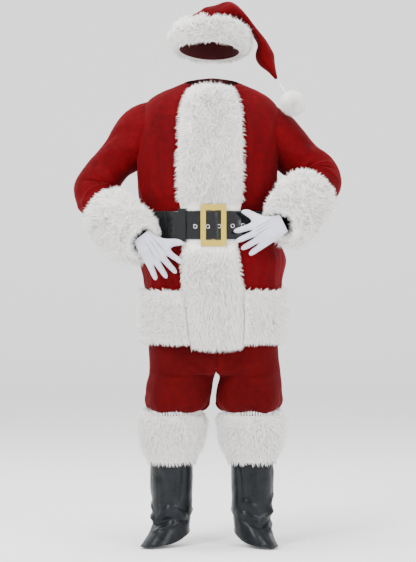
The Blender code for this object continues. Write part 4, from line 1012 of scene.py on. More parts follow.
# %% the boots' tables and creases
VINYL_THICK = 0.0015
BOOT = named(Ring, [
    (-1.088, 0.086, 0.086, 0.086, 0.0, 0.0),
    (-1.130, 0.079, 0.080, 0.079, 0.0, 0.0),
    (-1.180, 0.072, 0.073, 0.072, 0.0, 0.0),
    (-1.232, 0.069, 0.070, 0.069, 0.0, 0.0),
    (-1.300, 0.068, 0.068, 0.068, 0.0, 0.0),
    (-1.355, 0.066, 0.066, 0.066, 0.0, 0.0),
    (-1.395, 0.065, 0.064, 0.063, 0.0, 0.002),
    (-1.422, 0.061, 0.065, 0.060, 0.0, 0.006),
    (-1.443, 0.058, 0.078, 0.059, 0.0, 0.010),
    (-1.460, 0.056, 0.100, 0.060, 0.0, 0.015),
    (-1.474, 0.055, 0.124, 0.062, 0.0, 0.020),
    (-1.482, 0.054, 0.140, 0.063, 0.0, 0.022),
])
BOOT_FOLDS = named(Fold, [
    (0.65, 6.0, 0.42, 0.55, 0.006),
    (-0.55, 6.8, 0.40, 0.50, 0.005),
    (0.10, 7.1, 0.40, 0.45, -0.004),
    (2.50, 6.6, 0.45, 0.50, 0.003),
    (-2.40, 5.9, 0.45, 0.60, 0.003),
])
BOOT_SQUARENESS = 2.15
Foot = namedtuple("Foot", "x y outwards")
FEET = {
    "right": Foot(x=-0.136, y=0.0, outwards=math.radians(-42)),
    "left": Foot(x=0.129, y=0.0, outwards=math.radians(30)),
}
BOOT_CREASES = {
    "right": named(Crease, [
        (-0.20, 6.6, 0.75, 5.5, 0.0055, 0.0060, 0.003),
        (0.72, 5.6, 1.65, 6.7, 0.0055, 0.0060, 0.003),
        (-0.30, 7.4, 0.80, 6.6, 0.0060, -0.0060, 0.002),
        (0.80, 6.6, 1.80, 7.5, 0.0060, -0.0055, 0.002),
        (-0.10, 8.3, 0.95, 7.4, 0.0060, 0.0050, 0.003),
        (-1.50, 6.2, -0.30, 7.0, 0.0060, 0.0055, 0.003),
        (-1.60, 6.9, -0.40, 7.7, 0.0055, -0.0052, 0.002),
        (-1.30, 5.2, -0.50, 5.9, 0.0060, 0.0040, 0.003),
        (0.30, 3.2, 0.60, 5.0, 0.0080, 0.0036, 0.006),
        (1.30, 3.0, 1.10, 5.2, 0.0080, -0.0036, 0.006),
        (-0.80, 3.2, -1.00, 5.0, 0.0080, 0.0034, 0.006),
        (2.20, 6.0, 3.60, 6.4, 0.0065, 0.0055, 0.003),
        (2.10, 6.8, 3.80, 6.9, 0.0065, -0.0052, 0.003),
        (3.00, 5.4, 4.20, 5.8, 0.0065, 0.0045, 0.003),
    ]),
    "left": named(Crease, [
        (-1.20, 6.0, -0.20, 6.9, 0.0055, 0.0060, 0.003),
        (-0.25, 6.9, 0.90, 5.9, 0.0055, 0.0060, 0.003),
        (-1.25, 6.8, -0.20, 7.7, 0.0060, -0.0058, 0.002),
        (-0.20, 7.7, 1.00, 6.7, 0.0060, -0.0055, 0.002),
        (0.20, 8.2, 1.20, 7.3, 0.0060, 0.0048, 0.003),
        (-1.00, 5.1, -0.20, 5.8, 0.0060, 0.0045, 0.003),
        (0.50, 5.3, 1.40, 4.7, 0.0060, 0.0040, 0.003),
        (-0.30, 3.2, -0.60, 5.0, 0.0080, 0.0036, 0.006),
        (-1.30, 3.0, -1.10, 5.2, 0.0080, -0.0036, 0.006),
        (0.80, 3.2, 1.00, 5.0, 0.0080, 0.0034, 0.006),
        (-2.20, 6.0, -3.60, 6.4, 0.0065, 0.0055, 0.003),
        (-2.10, 6.8, -3.80, 6.9, 0.0065, -0.0052, 0.003),
        (-3.00, 5.4, -4.20, 5.8, 0.0065, 0.0045, 0.003),
        (1.50, 6.6, 2.50, 7.2, 0.0060, 0.0045, 0.003),
    ]),
}
print("boot creases", sum(len(creases) for creases in BOOT_CREASES.values()))

# %% boot covers
BOOTS = {side: ring_surface(BOOT, BOOT_SQUARENESS, BOOT_FOLDS, foot) for side, foot in FEET.items()}
BOOT_ROWS = fine(0.0, 3.0, 10) + fine(3.0, 11.0, 72)[1:]
BOOT_TURNS = fine(-HALF_TURN, HALF_TURN, 76)[:-1]
for seed, (side, surface) in enumerate(BOOTS.items()):
    places, normals, turn_grid, row_grid = surface_grid(surface, BOOT_TURNS, BOOT_ROWS)
    height = relief(turn_grid, row_grid, BOOT_CREASES[side], 0.072, 0.026)
    height += grid_noise(places, 0.045, 51 + seed) * 0.0018 + grid_noise(places, 0.018, 61 + seed) * 0.0006
    height *= smooth_step((row_grid - 2.0) / 1.0) * smooth_step((11.2 - row_grid) / 1.2)
    for seam in (0.0, HALF_TURN):
        off = beside(turn_grid, seam) * 0.072
        height += 0.0010 * np.exp(-((np.abs(off) - 0.0035) / 0.0018) ** 2)
        height -= 0.0012 * np.exp(-(off / 0.0016) ** 2)
    boot = cloth(
        "boot_cover_" + side, places, normals, height, VINYL_THICK,
        (black_vinyl, black_vinyl), wraps=True,
    )
    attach(boot, "root")
    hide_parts("boot_{}_outer".format(side), "boot_{}_inner".format(side))

# %% [markdown]
# ## The hat
# The crown is a bent cone of velvet. It stands on the head, folds over at the top and
# narrows down to its tip, where the pompom's tie begins.

# %% crown
CROWN = named(Station, [
    (-0.012, 0.010, 0.138, 0.099, 0.099, 0.110),
    (-0.010, 0.016, 0.173, 0.098, 0.098, 0.108),
    (-0.009, 0.024, 0.206, 0.088, 0.097, 0.104),
    (0.008, 0.034, 0.241, 0.038, 0.070, 0.092),
    (0.054, 0.042, 0.261, 0.034, 0.028, 0.080),
    (0.100, 0.048, 0.245, 0.013, 0.016, 0.068),
    (0.134, 0.052, 0.204, 0.012, 0.010, 0.062),
    (0.165, 0.051, 0.158, 0.017, 0.018, 0.056),
    (0.175, 0.046, 0.112, 0.030, 0.032, 0.044),
    (0.197, 0.038, 0.068, 0.014, 0.014, 0.024),
    (0.211, 0.030, 0.040, 0.005, 0.005, 0.006),
])
CROWN_CREASES = named(Crease, [
    (4.10, 2.2, 5.20, 3.9, 0.008, -0.0060, 0.006),
    (4.50, 1.9, 5.70, 3.4, 0.008, 0.0050, 0.006),
    (3.80, 2.6, 4.90, 4.5, 0.008, 0.0050, -0.006),
    (2.30, 2.0, 1.20, 3.8, 0.009, -0.0055, 0.006),
    (4.30, 5.0, 4.90, 8.6, 0.007, 0.0045, 0.005),
    (5.00, 4.6, 5.30, 8.0, 0.006, -0.0045, -0.004),
    (1.50, 4.8, 1.80, 8.4, 0.008, 0.0045, 0.005),
    (3.90, 7.2, 4.40, 9.2, 0.006, -0.0040, 0.003),
])
TIE_STARTS_PAST_TIP = 0.002
crown_surface = tube_surface(CROWN, -1)
CROWN_GRID_ROWS = fine(-0.2, 10.0, 90)
CROWN_GRID_TURNS = around(64)
crown_places, crown_normals, turn_grid, row_grid = surface_grid(
    crown_surface, CROWN_GRID_TURNS, CROWN_GRID_ROWS
)
crown_height = relief(turn_grid, row_grid, CROWN_CREASES, 0.070, 0.045)
crown_height += grid_noise(crown_places, 0.050, 71) * 0.0020
slim = smooth_step((9.6 - row_grid) / 2.0)
crown_height *= slim * smooth_step((row_grid - 1.0) / 0.8) * np.where(row_grid > 4.5, 0.6, 1.0)
crown = cloth(
    "hat_cone", crown_places, crown_normals, crown_height, VELVET_THICK,
    (jacket_velvet, velvet_back), wraps=True,
)
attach(crown, "root")
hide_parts("hat_crown")

# %% [markdown]
# ## Fur
# Long-pile fur is a backing with thousands of locks. Here a soft under-layer, about half
# as high as the pile, hides the cloth, and each lock is a thin three-sided spike with a
# bend, grown from a random spot on it. Locks start along the surface's normal, splay over
# the nearest edge, hang a little and swirl with their neighbours, which makes tufts.
# Each band's locks are one mesh, built in one go from arrays.

# %% Locks of hair
Pile = namedtuple("Pile", "row out")


def lock_mesh(name, roots, headings, bends, lengths, widths, chance):
    """One mesh of three-sided locks, bent once; UV holds chance and root-to-tip."""
    count = len(roots)
    helper = np.where(np.abs(headings[:, 2:3]) > 0.8, [[1.0, 0.0, 0.0]], [[0.0, 0.0, 1.0]])
    across = np.cross(headings, helper)
    across /= np.linalg.norm(across, axis=1, keepdims=True)
    other = np.cross(headings, across)
    middle = roots + headings * lengths[:, None] * 0.5
    tips = middle + bends * lengths[:, None] * 0.55
    points = np.zeros((count, 7, 3))
    uv = np.zeros((count, 7, 2))
    for i in range(3):
        angle = FULL_TURN * i / 3
        rim = (across * math.cos(angle) + other * math.sin(angle)) * widths[:, None] / 2
        points[:, i] = roots + rim
        points[:, i + 3] = middle + rim * 0.72
    points[:, 6] = tips
    uv[:, :, 0] = chance[:, None]
    uv[:, 3:6, 1] = 0.5
    uv[:, 6, 1] = 1.0
    pattern = []
    for i in range(3):
        j = (i + 1) % 3
        pattern += [(i, j, j + 3), (i, j + 3, i + 3), (i + 3, j + 3, 6)]
    faces = (np.arange(count)[:, None, None] * 7 + np.array(pattern)[None]).reshape(-1, 3)
    return add_mesh(name, points.reshape(-1, 3), faces, (fur_hair,), uv=uv.reshape(-1, 2))


SWIRL_SEED = 4
noise.seed_set(SWIRL_SEED)


def swirl(points, size, seed):
    """Soft vectors at each point; without the seed above they would change each run."""
    return np.array([noise.noise_vector(Vector(spot) / size + Vector((seed, 0, 0))) for spot in points])


def unit(vectors):
    return vectors / (np.linalg.norm(vectors, axis=-1, keepdims=True) + 1e-9)


Growth = namedtuple("Growth", "locks length width splay hang curl seed")


def grow_locks(name, base, normals, down, growth, edge_push, length_share=None):
    """Locks on a grid of base points; edge_push tells how each point's locks splay."""
    rng = np.random.default_rng(growth.seed)
    rows, columns = base.shape[:2]
    a, b = rng.uniform(0, rows - 1.001, growth.locks), rng.uniform(0, columns - 1.001, growth.locks)
    k, i = a.astype(int), b.astype(int)
    s, t = (a - k)[:, None], (b - i)[:, None]

    def sample(grid):
        upper = grid[k, i] * (1 - t) + grid[k, i + 1] * t
        lower = grid[k + 1, i] * (1 - t) + grid[k + 1, i + 1] * t
        return upper * (1 - s) + lower * s

    roots = sample(base)
    pushed = sample(edge_push) * growth.splay + sample(down) * growth.hang
    headings = sample(normals) + pushed + swirl(roots, 0.030, growth.seed) * growth.curl
    headings = unit(headings + rng.normal(0, 0.16, (growth.locks, 3)))
    bends = headings + swirl(roots, 0.012, growth.seed + 5) * growth.curl * 1.5
    bends = bends + sample(down) * (growth.hang + 0.15) + pushed * 0.4
    bends = unit(bends + rng.normal(0, 0.22, (growth.locks, 3)))
    lengths = growth.length * rng.uniform(0.65, 1.15, growth.locks)
    if length_share is not None:
        lengths *= sample(length_share[..., None])[:, 0]
    widths = growth.width * rng.uniform(0.6, 1.2, growth.locks)
    return lock_mesh(name, roots, headings, bends, lengths, widths, rng.uniform(0, 1, growth.locks))


print("a lock has 7 points and 9 triangles")

# %% [markdown]
# A band of fur needs two grids from the same turns and rows: its foot on the cloth and
# the top of its pile. The under-layer stands between them.

# %% Bands of fur
Band = namedtuple("Band", "name nodes flat held")


def fur_band(band, foot, top, wraps, height_share, growth, push_from_edges, pressed=None, lip=None):
    """An under-layer between two grids and the locks that grow on it."""
    rise = top - foot
    reach = np.linalg.norm(rise, axis=2, keepdims=True)
    lumps = 1 + 0.22 * grid_noise(foot, 0.022, growth.seed)[..., None]
    base = foot + rise * height_share * lumps
    rows, columns = base.shape[:2]
    faces, kinds = shell_faces(np.ones((rows, columns), dtype=bool), wraps)
    points = np.concatenate([base.reshape(-1, 3), foot.reshape(-1, 3)])
    under = add_mesh(band.name, points, faces, (fur_base,))
    area = closed_up(under) / 2
    if wraps:
        base, rise, reach = (np.concatenate([grid, grid[:, :1]], axis=1) for grid in (base, rise, reach))
    normals = rise / (reach + 1e-9)
    along, across = unit(np.gradient(base, axis=0)), unit(np.gradient(base, axis=1))
    v = np.linspace(-1, 1, base.shape[0])[:, None, None]
    u = np.linspace(-1, 1, base.shape[1])[None, :, None]
    push = np.zeros_like(base)
    if "rows" in push_from_edges:
        push = push + along * np.sign(v) * np.abs(v) ** 3
    if "columns" in push_from_edges:
        push = push + across * np.sign(u) * np.abs(u) ** 3
    down = np.zeros_like(base)
    down[..., 2] = -1.0
    share = np.clip(reach[..., 0] / np.median(reach), 0.62, 1.25)
    if pressed is not None:
        share *= pressed[:, None]
    locks = grow_locks(band.name + "_locks", base, normals, down, growth, push, share)
    pieces = [locks]
    if lip is not None:
        pieces.append(lip_locks(band.name + "_lip", foot[lip.end], top[lip.end], lip, growth))
    for piece in (under, *pieces):
        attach(piece, "root")
    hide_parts(*band.nodes)
    print(band.name, "base area", round(area, 4), "locks", growth.locks)


Lip = namedtuple("Lip", "end locks length ahead inward")


def lip_locks(name, foot_ring, top_ring, lip, growth):
    """Locks round a cuff's mouth that lean over it and hide the gap round the wrist."""
    rng = np.random.default_rng(growth.seed + 40)
    middle = foot_ring.mean(axis=0)
    i = rng.integers(0, len(foot_ring), lip.locks)
    depth = rng.uniform(0.0, 0.8, lip.locks)[:, None]
    roots = foot_ring[i] * (1 - depth) + top_ring[i] * depth
    ahead = unit(np.cross(foot_ring[6] - middle, foot_ring[0] - middle)[None])[0]
    ahead = ahead * lip.ahead
    inward = unit(middle - foot_ring[i]) * lip.inward
    headings = inward * 0.6 + ahead + swirl(roots, 0.02, growth.seed) * 0.5
    headings = unit(headings + rng.normal(0, 0.2, roots.shape))
    bends = unit(inward * 1.4 + ahead * 0.8 + rng.normal(0, 0.3, roots.shape))
    lengths = lip.length * rng.uniform(0.6, 1.15, lip.locks)
    widths = growth.width * rng.uniform(0.6, 1.2, lip.locks)
    return lock_mesh(name, roots, headings, bends, lengths, widths, rng.uniform(0, 1, lip.locks))


def pile_grids(surface, pile, turns, row_cells, share=None):
    """Foot and top grids of a band that goes all round a surface."""
    table_rows = [spot.row for spot in pile]
    table_outs = [spot.out for spot in pile]
    rows = fine(table_rows[0], table_rows[-1], row_cells)
    foot, top = [], []
    for row in rows:
        out = float(np.interp(row, table_rows, table_outs))
        foot.append([surface.at(turn, row, FUR_SEAT) for turn in turns])
        top.append([surface.at(turn, row, out * (share(turn) if share else 1.0)) for turn in turns])
    return np.array(foot), np.array(top)


# %% Hat brim, cuffs and boot tops
BRIM_PILE = named(Pile, [
    (-0.28, 0.012),
    (0.00, 0.034),
    (0.60, 0.043),
    (1.30, 0.042),
    (1.80, 0.028),
])
CUFF_PILE = named(Pile, [
    (5.90, 0.009),
    (6.08, 0.028),
    (6.60, 0.037),
    (7.30, 0.042),
    (8.00, 0.040),
    (8.22, 0.017),
])
BOOT_TOP_PILE = named(Pile, [
    (-0.30, 0.015),
    (0.00, 0.026),
    (1.00, 0.029),
    (2.00, 0.024),
    (3.00, 0.006),
])
CUFF_PRESSED_TURN = math.radians(132)
CUFF_PRESSED_SHARE = 0.60
CUFF_AHEAD = {"right": 0.55, "left": -0.55}


def cuff_share(turn):
    """The cuff's fur is pressed flatter where it faces the body."""
    facing = max(0.0, math.cos(turn - CUFF_PRESSED_TURN))
    return 1 - CUFF_PRESSED_SHARE * facing * facing


BRIM_GROWTH = Growth(locks=9500, length=0.027, width=0.0030, splay=0.9, hang=0.10, curl=0.75, seed=3)
CUFF_GROWTH = Growth(locks=8500, length=0.027, width=0.0030, splay=0.9, hang=0.15, curl=0.75, seed=5)
BOOT_TOP_GROWTH = Growth(locks=6800, length=0.028, width=0.0028, splay=1.0, hang=0.55, curl=0.60, seed=9)
foot, top = pile_grids(crown_surface, BRIM_PILE, around(84), 14)
fur_band(
    Band(name="hat_brim", nodes=["hat_brim_fur"], flat=(0.62, 0.11), held="gathered"),
    foot, top, True, 0.42, BRIM_GROWTH, ("rows",),
)
for side, surface in SLEEVES.items():
    foot, top = pile_grids(surface, CUFF_PILE, around(72), 16, cuff_share)
    fur_band(
        Band(name="cuff_" + side, nodes=["jacket_cuff_fur_" + side], flat=(0.55, 0.20), held="gathered"),
        foot, top, True, 0.45, CUFF_GROWTH._replace(seed=CUFF_GROWTH.seed + len(side)), ("rows",),
        lip=Lip(end=-1, locks=1700, length=0.036, ahead=CUFF_AHEAD[side], inward=1.0),
    )
for side, surface in BOOTS.items():
    foot, top = pile_grids(surface, BOOT_TOP_PILE, around(66), 14)
    fur_band(
        Band(name="boot_top_" + side, nodes=["boot_top_fur_" + side], flat=(0.60, 0.16), held="gathered"),
        foot, top, True, 0.50, BOOT_TOP_GROWTH._replace(seed=BOOT_TOP_GROWTH.seed + len(side)), ("rows",),
        lip=Lip(end=0, locks=1500, length=0.026, ahead=-0.9, inward=0.5),
    )

# %% [markdown]
# The placket and the hem bands lie on the jacket. Their edges follow the placket's table,
# and under the belt the placket's pile is pressed flat.

# %% Placket and hem bands
Strip = namedtuple("Strip", "row right left out")
PLACKET = named(Strip, [
    (1.0, -0.062, 0.054, 0.010),
    (2.0, -0.080, 0.070, 0.020),
    (3.0, -0.092, 0.080, 0.024),
    (4.0, -0.104, 0.090, 0.024),
    (5.0, -0.111, 0.094, 0.025),
    (6.0, -0.113, 0.095, 0.026),
    (7.0, -0.113, 0.095, 0.026),
    (8.0, -0.111, 0.093, 0.023),
    (8.3, -0.110, 0.092, 0.018),
    (8.7, -0.107, 0.090, 0.007),
    (9.0, -0.105, 0.088, 0.004),
    (10.0, -0.103, 0.084, 0.004),
    (11.0, -0.101, 0.081, 0.004),
    (11.3, -0.100, 0.080, 0.007),
    (11.7, -0.100, 0.080, 0.018),
    (12.0, -0.100, 0.080, 0.023),
    (13.0, -0.097, 0.088, 0.027),
    (14.0, -0.093, 0.096, 0.028),
    (15.0, -0.086, 0.100, 0.028),
    (16.0, -0.078, 0.097, 0.026),
    (16.4, -0.073, 0.094, 0.021),
    (16.8, -0.066, 0.090, 0.010),
])
HEM_PILE = named(Pile, [
    (14.0, 0.012),
    (14.4, 0.021),
    (15.0, 0.024),
    (16.0, 0.021),
    (16.4, 0.007),
])


def turn_at(row, x):
    """The torso's turn at which its front passes a distance x from the middle."""
    ring = read_table(TORSO, row)
    across = abs(x - ring.shift) / ring.side
    ahead = ring.front * (1 - across ** TORSO_SQUARENESS) ** (1 / TORSO_SQUARENESS)
    return math.atan2(x - ring.shift, ahead)


def placket_edge(row, side):
    """The turn of the placket's edge on one side, straight between its rows."""
    for upper, lower in zip(PLACKET, PLACKET[1:]):
        if row <= lower.row:
            break
    share = max(0.0, (row - upper.row) / (lower.row - upper.row))
    if side < 0:
        return turn_at(row, mix(upper.right, lower.right, share))
    return turn_at(row, mix(upper.left, lower.left, share))


PILE_CLEAR = FUR_SEAT + 0.001
EVEN_PILE = ([0.0, 1.0], [1.0, 1.0])


def jacket_band(rows, outs, starts, ends, columns, edge_shares=EVEN_PILE):
    """Foot and top grids on the jacket between two turns at every row."""
    shares = np.interp(np.linspace(0, 1, columns + 1), *edge_shares)
    foot, top = [], []
    for row, out, start, end in zip(rows, outs, starts, ends):
        turns = fine(start, end, columns)
        outs_here = [PILE_CLEAR + out * share for share in shares]
        foot.append([JACKET.at(turn, row, FUR_SEAT) for turn in turns])
        top.append([JACKET.at(turn, row, away) for turn, away in zip(turns, outs_here)])
    return np.array(foot), np.array(top)


PLACKET_SHARES = (
    [0.0, 0.06, 0.18, 0.30, 0.70, 0.82, 0.94, 1.0], [0.10, 0.55, 0.85, 1.0, 1.0, 0.85, 0.55, 0.10],
)
PLACKET_GROWTH = Growth(locks=12500, length=0.028, width=0.0030, splay=1.3, hang=0.40, curl=0.70, seed=12)
HEM_GROWTH = Growth(locks=7400, length=0.025, width=0.0030, splay=1.2, hang=0.25, curl=0.65, seed=15)
placket_rows = fine(PLACKET[0].row, PLACKET[-1].row, 96)
placket_outs = np.interp(placket_rows, [strip.row for strip in PLACKET], [strip.out for strip in PLACKET])
foot, top = jacket_band(
    placket_rows, placket_outs, [placket_edge(row, -1) for row in placket_rows],
    [placket_edge(row, 1) for row in placket_rows], 24, PLACKET_SHARES,
)
under_belt = smooth_step((np.abs(np.array(placket_rows) - BELT_ROW) - 1.25) / 0.5) * 0.9 + 0.1
fur_band(
    Band(name="placket", nodes=["jacket_placket_fur"], flat=(0.22, 0.88), held="hung"),
    foot, top, False, 0.52, PLACKET_GROWTH, ("rows", "columns"), pressed=under_belt,
)
hem_rows = fine(HEM_PILE[0].row, HEM_PILE[-1].row, 16)
hem_outs = np.interp(hem_rows, [spot.row for spot in HEM_PILE], [spot.out for spot in HEM_PILE])
lefts = [placket_edge(row, 1) + 0.004 for row in hem_rows]
rights = [FULL_TURN + placket_edge(row, -1) - 0.004 for row in hem_rows]
backs = [HALF_TURN] * len(hem_rows)
for side, starts, ends in (("left", lefts, backs), ("right", backs, rights)):
    foot, top = jacket_band(hem_rows, hem_outs, starts, ends, 60)
    fur_band(
        Band(name="hem_" + side, nodes=["jacket_hem_fur_" + side], flat=(0.60, 0.19), held="hung"),
        foot, top, False, 0.50, HEM_GROWTH._replace(seed=HEM_GROWTH.seed + len(side)), ("rows",),
    )

# %% [markdown]
# ## The pompom
# A ball of the same fur hangs from the tip of the hat on a short tie.

# %% Pompom
POMPOM_MIDDLE = Vector((0.262, -0.066, -0.050))
POMPOM_RADIUS = 0.0415
POMPOM_LOCKS = 4200
crown_tip = crown_surface.middle(10.0)
tip_heading = (crown_tip - crown_surface.middle(10.0 - TINY_STEP)).normalized()
tie_top = crown_tip + tip_heading * TIE_STARTS_PAST_TIP
mesh = bmesh.new()
bmesh.ops.create_uvsphere(mesh, u_segments=32, v_segments=20, radius=POMPOM_RADIUS * 0.66)
for vert in mesh.verts:
    vert.co *= 1 + 0.12 * noise.noise(vert.co / 0.016)
bmesh.ops.translate(mesh, vec=POMPOM_MIDDLE, verts=mesh.verts)
line = POMPOM_MIDDLE - tie_top
tie = bmesh.ops.create_cone(
    mesh, cap_ends=True, segments=10, radius1=0.0020, radius2=0.0020, depth=line.length,
)
turned = line.to_track_quat("Z", "Y").to_matrix().to_4x4()
place = Matrix.Translation((tie_top + POMPOM_MIDDLE) / 2) @ turned
bmesh.ops.transform(mesh, matrix=place, verts=tie["verts"])
pompom = from_bmesh("pompom_ball", mesh, fur_base)
rng = np.random.default_rng(21)
away = unit(rng.normal(0, 1, (POMPOM_LOCKS, 3)))
roots = np.array(POMPOM_MIDDLE) + away * POMPOM_RADIUS * 0.60
headings = unit(away + swirl(roots, 0.014, 4) * 0.45 + rng.normal(0, 0.14, away.shape))
bends = unit(headings + swirl(roots, 0.008, 9) * 0.7 + rng.normal(0, 0.25, away.shape))
pompom_locks = lock_mesh(
    "pompom_locks", roots, headings, bends, 0.019 * rng.uniform(0.75, 1.15, POMPOM_LOCKS),
    0.0026 * rng.uniform(0.6, 1.2, POMPOM_LOCKS), rng.uniform(0, 1, POMPOM_LOCKS),
)
for piece in (pompom, pompom_locks):
    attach(piece, "root")
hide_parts("hat_pompom")
print("pompom locks", POMPOM_LOCKS)

# %% [markdown]
# ## The belt
# One long patent strap with both ends lapped at the front: it starts behind the buckle's
# bar, goes once round and lies over itself. Its section is a flat loop with soft edges,
# swept round the body. The lapped end has silver eyelets.

# %% The strap's path
STRAP_THICK = 0.003
LAYER_GAP = 0.0006
STRAP_STARTS_PAST_BAR = math.radians(3)
STRAP_ENDS_PAST_START = math.radians(402)
BELT_CLEAR = 0.0008
BELT_OVER_PLACKET = 0.0052
PLACKET_LIES = math.radians(36)
PLACKET_FADES = math.radians(14)
BAR_LIFT = 0.0042
BAR_HALF_TURN = math.radians(4.2)
BUCKLE_MIDDLE = 0.001


def belt_bed(turn):
    """How far the belt's inner layer lies off the jacket: more over the placket."""
    away = abs(math.remainder(turn, FULL_TURN))
    share = max(0.0, min(1.0, (PLACKET_LIES + PLACKET_FADES - away) / PLACKET_FADES))
    return mix(BELT_CLEAR, BELT_OVER_PLACKET, share * share * (3 - 2 * share))


def bar_turn():
    return turn_at(row_at(TORSO, BELT_MIDDLE), BUCKLE_MIDDLE)


def strap_out(turn):
    """The strap winds outwards by one layer in a full turn, and rises over the bar."""
    laps = (bar_turn() - STRAP_STARTS_PAST_BAR - turn) / FULL_TURN
    away = abs(math.remainder(turn - bar_turn(), FULL_TURN)) / BAR_HALF_TURN
    lift = BAR_LIFT * math.exp(-away * away) if laps > 0.5 else 0.0
    return belt_bed(turn) + (STRAP_THICK + LAYER_GAP) * max(0.0, laps) + lift


# %% Strap
STRAP_SECTION = [
    (1.0, 0.5), (0.985, 0.85), (0.95, 1.0), (0.5, 1.0), (0.0, 1.0), (-0.5, 1.0), (-0.95, 1.0),
    (-0.985, 0.85), (-1.0, 0.5), (-0.985, 0.15), (-0.95, 0.0), (0.0, 0.0), (0.95, 0.0), (0.985, 0.15),
]
strap_start = bar_turn() - STRAP_STARTS_PAST_BAR
strap_turns = fine(strap_start, strap_start - STRAP_ENDS_PAST_START, 260)
section_rows = [row_at(TORSO, BELT_MIDDLE + high * BELT_TALL / 2) for high, deep in STRAP_SECTION]
strap_points = []
for turn in strap_turns:
    out = strap_out(turn)
    wave = 0.0003 * math.sin(turn * 9 + 1.3 * math.sin(turn * 4))
    for (high, deep), row in zip(STRAP_SECTION, section_rows):
        strap_points.append(BODICE.at(turn, row, out + STRAP_THICK * deep + wave * (1 - abs(high))))
around_section = len(STRAP_SECTION)
strap_faces = ring_faces(len(strap_turns), around_section)
strap = add_mesh("belt_patent_strap", strap_points, strap_faces, (black_patent,))
last = (len(strap_turns) - 1) * around_section
closed_up(strap, caps=(range(around_section), range(last, last + around_section)))
print("strap faces", len(strap.data.polygons))

# %% Eyelets on the lapped end
Eyelet = namedtuple("Eyelet", "x z")
EYELETS = [
    Eyelet(x=-0.0560, z=-0.4560), Eyelet(x=-0.0170, z=-0.4560), Eyelet(x=0.0190, z=-0.4550),
    Eyelet(x=0.0610, z=-0.4540), Eyelet(x=0.0930, z=-0.4520),
]
EYELET_RADIUS = 0.0058
EYELET_WIRE = 0.0013


def ring_mesh(radius, wire, place):
    """A ring made by turning a small circle about Z, then put in its place."""
    mesh = bmesh.new()
    bmesh.ops.create_circle(mesh, segments=8, radius=wire)
    turned = Matrix.Translation((radius, 0, 0)) @ Matrix.Rotation(HALF_TURN / 2, 4, "X")
    bmesh.ops.transform(mesh, matrix=turned, verts=mesh.verts)
    bmesh.ops.spin(
        mesh, geom=mesh.verts[:] + mesh.edges[:], axis=(0, 0, 1), cent=(0, 0, 0),
        angle=FULL_TURN, steps=24, use_merge=True,
    )
    bmesh.ops.transform(mesh, matrix=place, verts=mesh.verts)
    data = bpy.data.meshes.new("one_eyelet")
    mesh.to_mesh(data)
    mesh.free()
    return data


eyelets = bmesh.new()
for eyelet in EYELETS:
    row = row_at(TORSO, eyelet.z)
    turn = turn_at(row, eyelet.x)
    lap = turn - FULL_TURN
    spot = BODICE.at(lap, row, strap_out(lap) + STRAP_THICK)
    facing = (BODICE.at(lap, row, 0.02) - BODICE.at(lap, row)).normalized()
    place = Matrix.Translation(spot) @ facing.to_track_quat("Z", "Y").to_matrix().to_4x4()
    ring = ring_mesh(EYELET_RADIUS, EYELET_WIRE, place)
    eyelets.from_mesh(ring)
    bpy.data.meshes.remove(ring)
bmesh.ops.recalc_face_normals(eyelets, faces=eyelets.faces)
eyelet_rings = from_bmesh("belt_eyelets", eyelets, eyelet_steel)
for piece in (strap, eyelet_rings):
    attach(piece, "root")
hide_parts("belt_strap")
print("eyelets", len(EYELETS))

# %% [markdown]
# ## The buckle, the keeper and the waistband
# They keep the solids' own meshes, because their shape is already true: they only get
# their finishes, and the waistband's is the trousers' velvet with its painted shade.

# %% Buckle, keeper and waistband
for node, material in (
    ("belt_buckle", buckle_brass), ("belt_keeper", black_patent), ("trousers_waistband", trouser_velvet_shaded),
):
    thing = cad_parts[node]
    thing.data.materials.clear()
    thing.data.materials.append(material)
print("carried over: buckle, keeper and waistband")

# %% [markdown]
# ## The gloves
# Thin white cotton with fine wrinkles. Three stitched ridges run down the back of each
# hand from between the knuckles.
# The ridges are coloured dark grey, as painted shade along the stitching.

# %% Gloves
STITCH_RADIUS = 0.0011
Stitch = namedtuple("Stitch", "start end")
STITCHES = {
    "right": [
        Stitch(start=(-0.196, -0.490), end=(-0.148, -0.545)),
        Stitch(start=(-0.207, -0.496), end=(-0.166, -0.556)),
        Stitch(start=(-0.218, -0.503), end=(-0.184, -0.564)),
    ],
    "left": [
        Stitch(start=(0.192, -0.430), end=(0.133, -0.462)),
        Stitch(start=(0.186, -0.442), end=(0.130, -0.476)),
        Stitch(start=(0.183, -0.455), end=(0.132, -0.488)),
    ],
}


def stitched_ridge(mesh, tree, stitch):
    """A thin raised line on the front of a glove, found by looking at it from the front."""
    spots = []
    for share in fine(0.0, 1.0, 16):
        x, z = (mix(a, b, share) for a, b in zip(stitch.start, stitch.end))
        hit, normal, face, gap = tree.ray_cast(Vector((x, -0.6, z)), Vector((0, 1, 0)))
        if hit is not None:
            swell = math.sin(math.pi * min(1.0, max(0.12, share)) * 0.96 + 0.06)
            spots.append((hit, normal, STITCH_RADIUS * swell))
    rings = []
    for n, (spot, normal, radius) in enumerate(spots):
        ahead = (spots[min(n + 1, len(spots) - 1)][0] - spots[max(n - 1, 0)][0]).normalized()
        side = normal.cross(ahead).normalized()
        ring = []
        for i in range(6):
            angle = FULL_TURN * i / 6
            rim = side * radius * math.cos(angle) + normal * radius * math.sin(angle)
            ring.append(mesh.verts.new(spot + rim))
        rings.append(ring)
    for before, after in zip(rings, rings[1:]):
        for i in range(6):
            j = (i + 1) % 6
            mesh.faces.new([before[i], before[j], after[j], after[i]])
    if rings:
        mesh.faces.new(rings[0][::-1])
        mesh.faces.new(rings[-1])


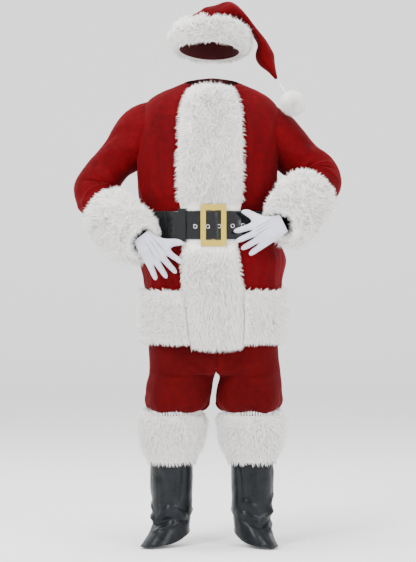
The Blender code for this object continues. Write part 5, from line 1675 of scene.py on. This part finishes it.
for side, stitches in STITCHES.items():
    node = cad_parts["glove_" + side]
    mesh = bmesh.new()
    mesh.from_mesh(node.data)
    mesh.transform(node.matrix_world)
    bmesh.ops.remove_doubles(mesh, verts=mesh.verts, dist=0.0001)
    bmesh.ops.subdivide_edges(mesh, edges=mesh.edges, cuts=1, use_grid_fill=True)
    every_axis = {"use_axis_x": True, "use_axis_y": True, "use_axis_z": True}
    for _ in range(2):
        bmesh.ops.smooth_vert(mesh, verts=mesh.verts, factor=0.3, **every_axis)
    mesh.normal_update()
    for vert in mesh.verts:
        wrinkle = noise.noise(vert.co / 0.013) * 0.0008 + noise.noise(vert.co / 0.006) * 0.0003
        vert.co += vert.normal * wrinkle
    bmesh.ops.recalc_face_normals(mesh, faces=mesh.faces)
    tree = BVHTree.FromBMesh(mesh)
    ridges = bmesh.new()
    for stitch in stitches:
        stitched_ridge(ridges, tree, stitch)
    bmesh.ops.recalc_face_normals(ridges, faces=ridges.faces)
    # The ridges take the dark grey stitching colour, which is painted shade.
    for name, made, material in (
        ("glove_cloth_" + side, mesh, white_cotton), ("glove_ridges_" + side, ridges, stitch_shade_cotton),
    ):
        thing = from_bmesh(name, made, material)
        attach(thing, "root")
    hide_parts("glove_" + side)

# %% [markdown]

# %% [markdown]
# ## The stage, and the end
# A pale floor lies just under the boot covers and rises in a soft curve behind the suit,
# so far off that a camera that looks at the suit's back still stands in front of it.

# %% floor
FLOOR_HEIGHT = -1.5125
PAPER_SIDE = 9.0
PAPER_BENDS_AT = 8.0
PAPER_BEND = 1.5
PAPER_TOP = 10.0
floor_mesh = bmesh.new()
profile = [(-PAPER_SIDE, 0.0), (PAPER_BENDS_AT, 0.0)]
for angle in fine(0.1, HALF_TURN / 2, 16):
    profile.append((PAPER_BENDS_AT + PAPER_BEND * math.sin(angle), PAPER_BEND * (1 - math.cos(angle))))
profile.append((PAPER_BENDS_AT + PAPER_BEND, PAPER_TOP))
lines = [
    [floor_mesh.verts.new((x, y, FLOOR_HEIGHT + z)) for y, z in profile] for x in (-PAPER_SIDE, PAPER_SIDE)
]
for k in range(len(profile) - 1):
    floor_mesh.faces.new([lines[0][k], lines[1][k], lines[1][k + 1], lines[0][k + 1]])
paper = Finish("studio_paper", (0.97, 0.97, 0.97), 0.9)
floor = from_bmesh("studio_floor", floor_mesh, paper.material)

# %% the end
bpy.context.view_layer.update()
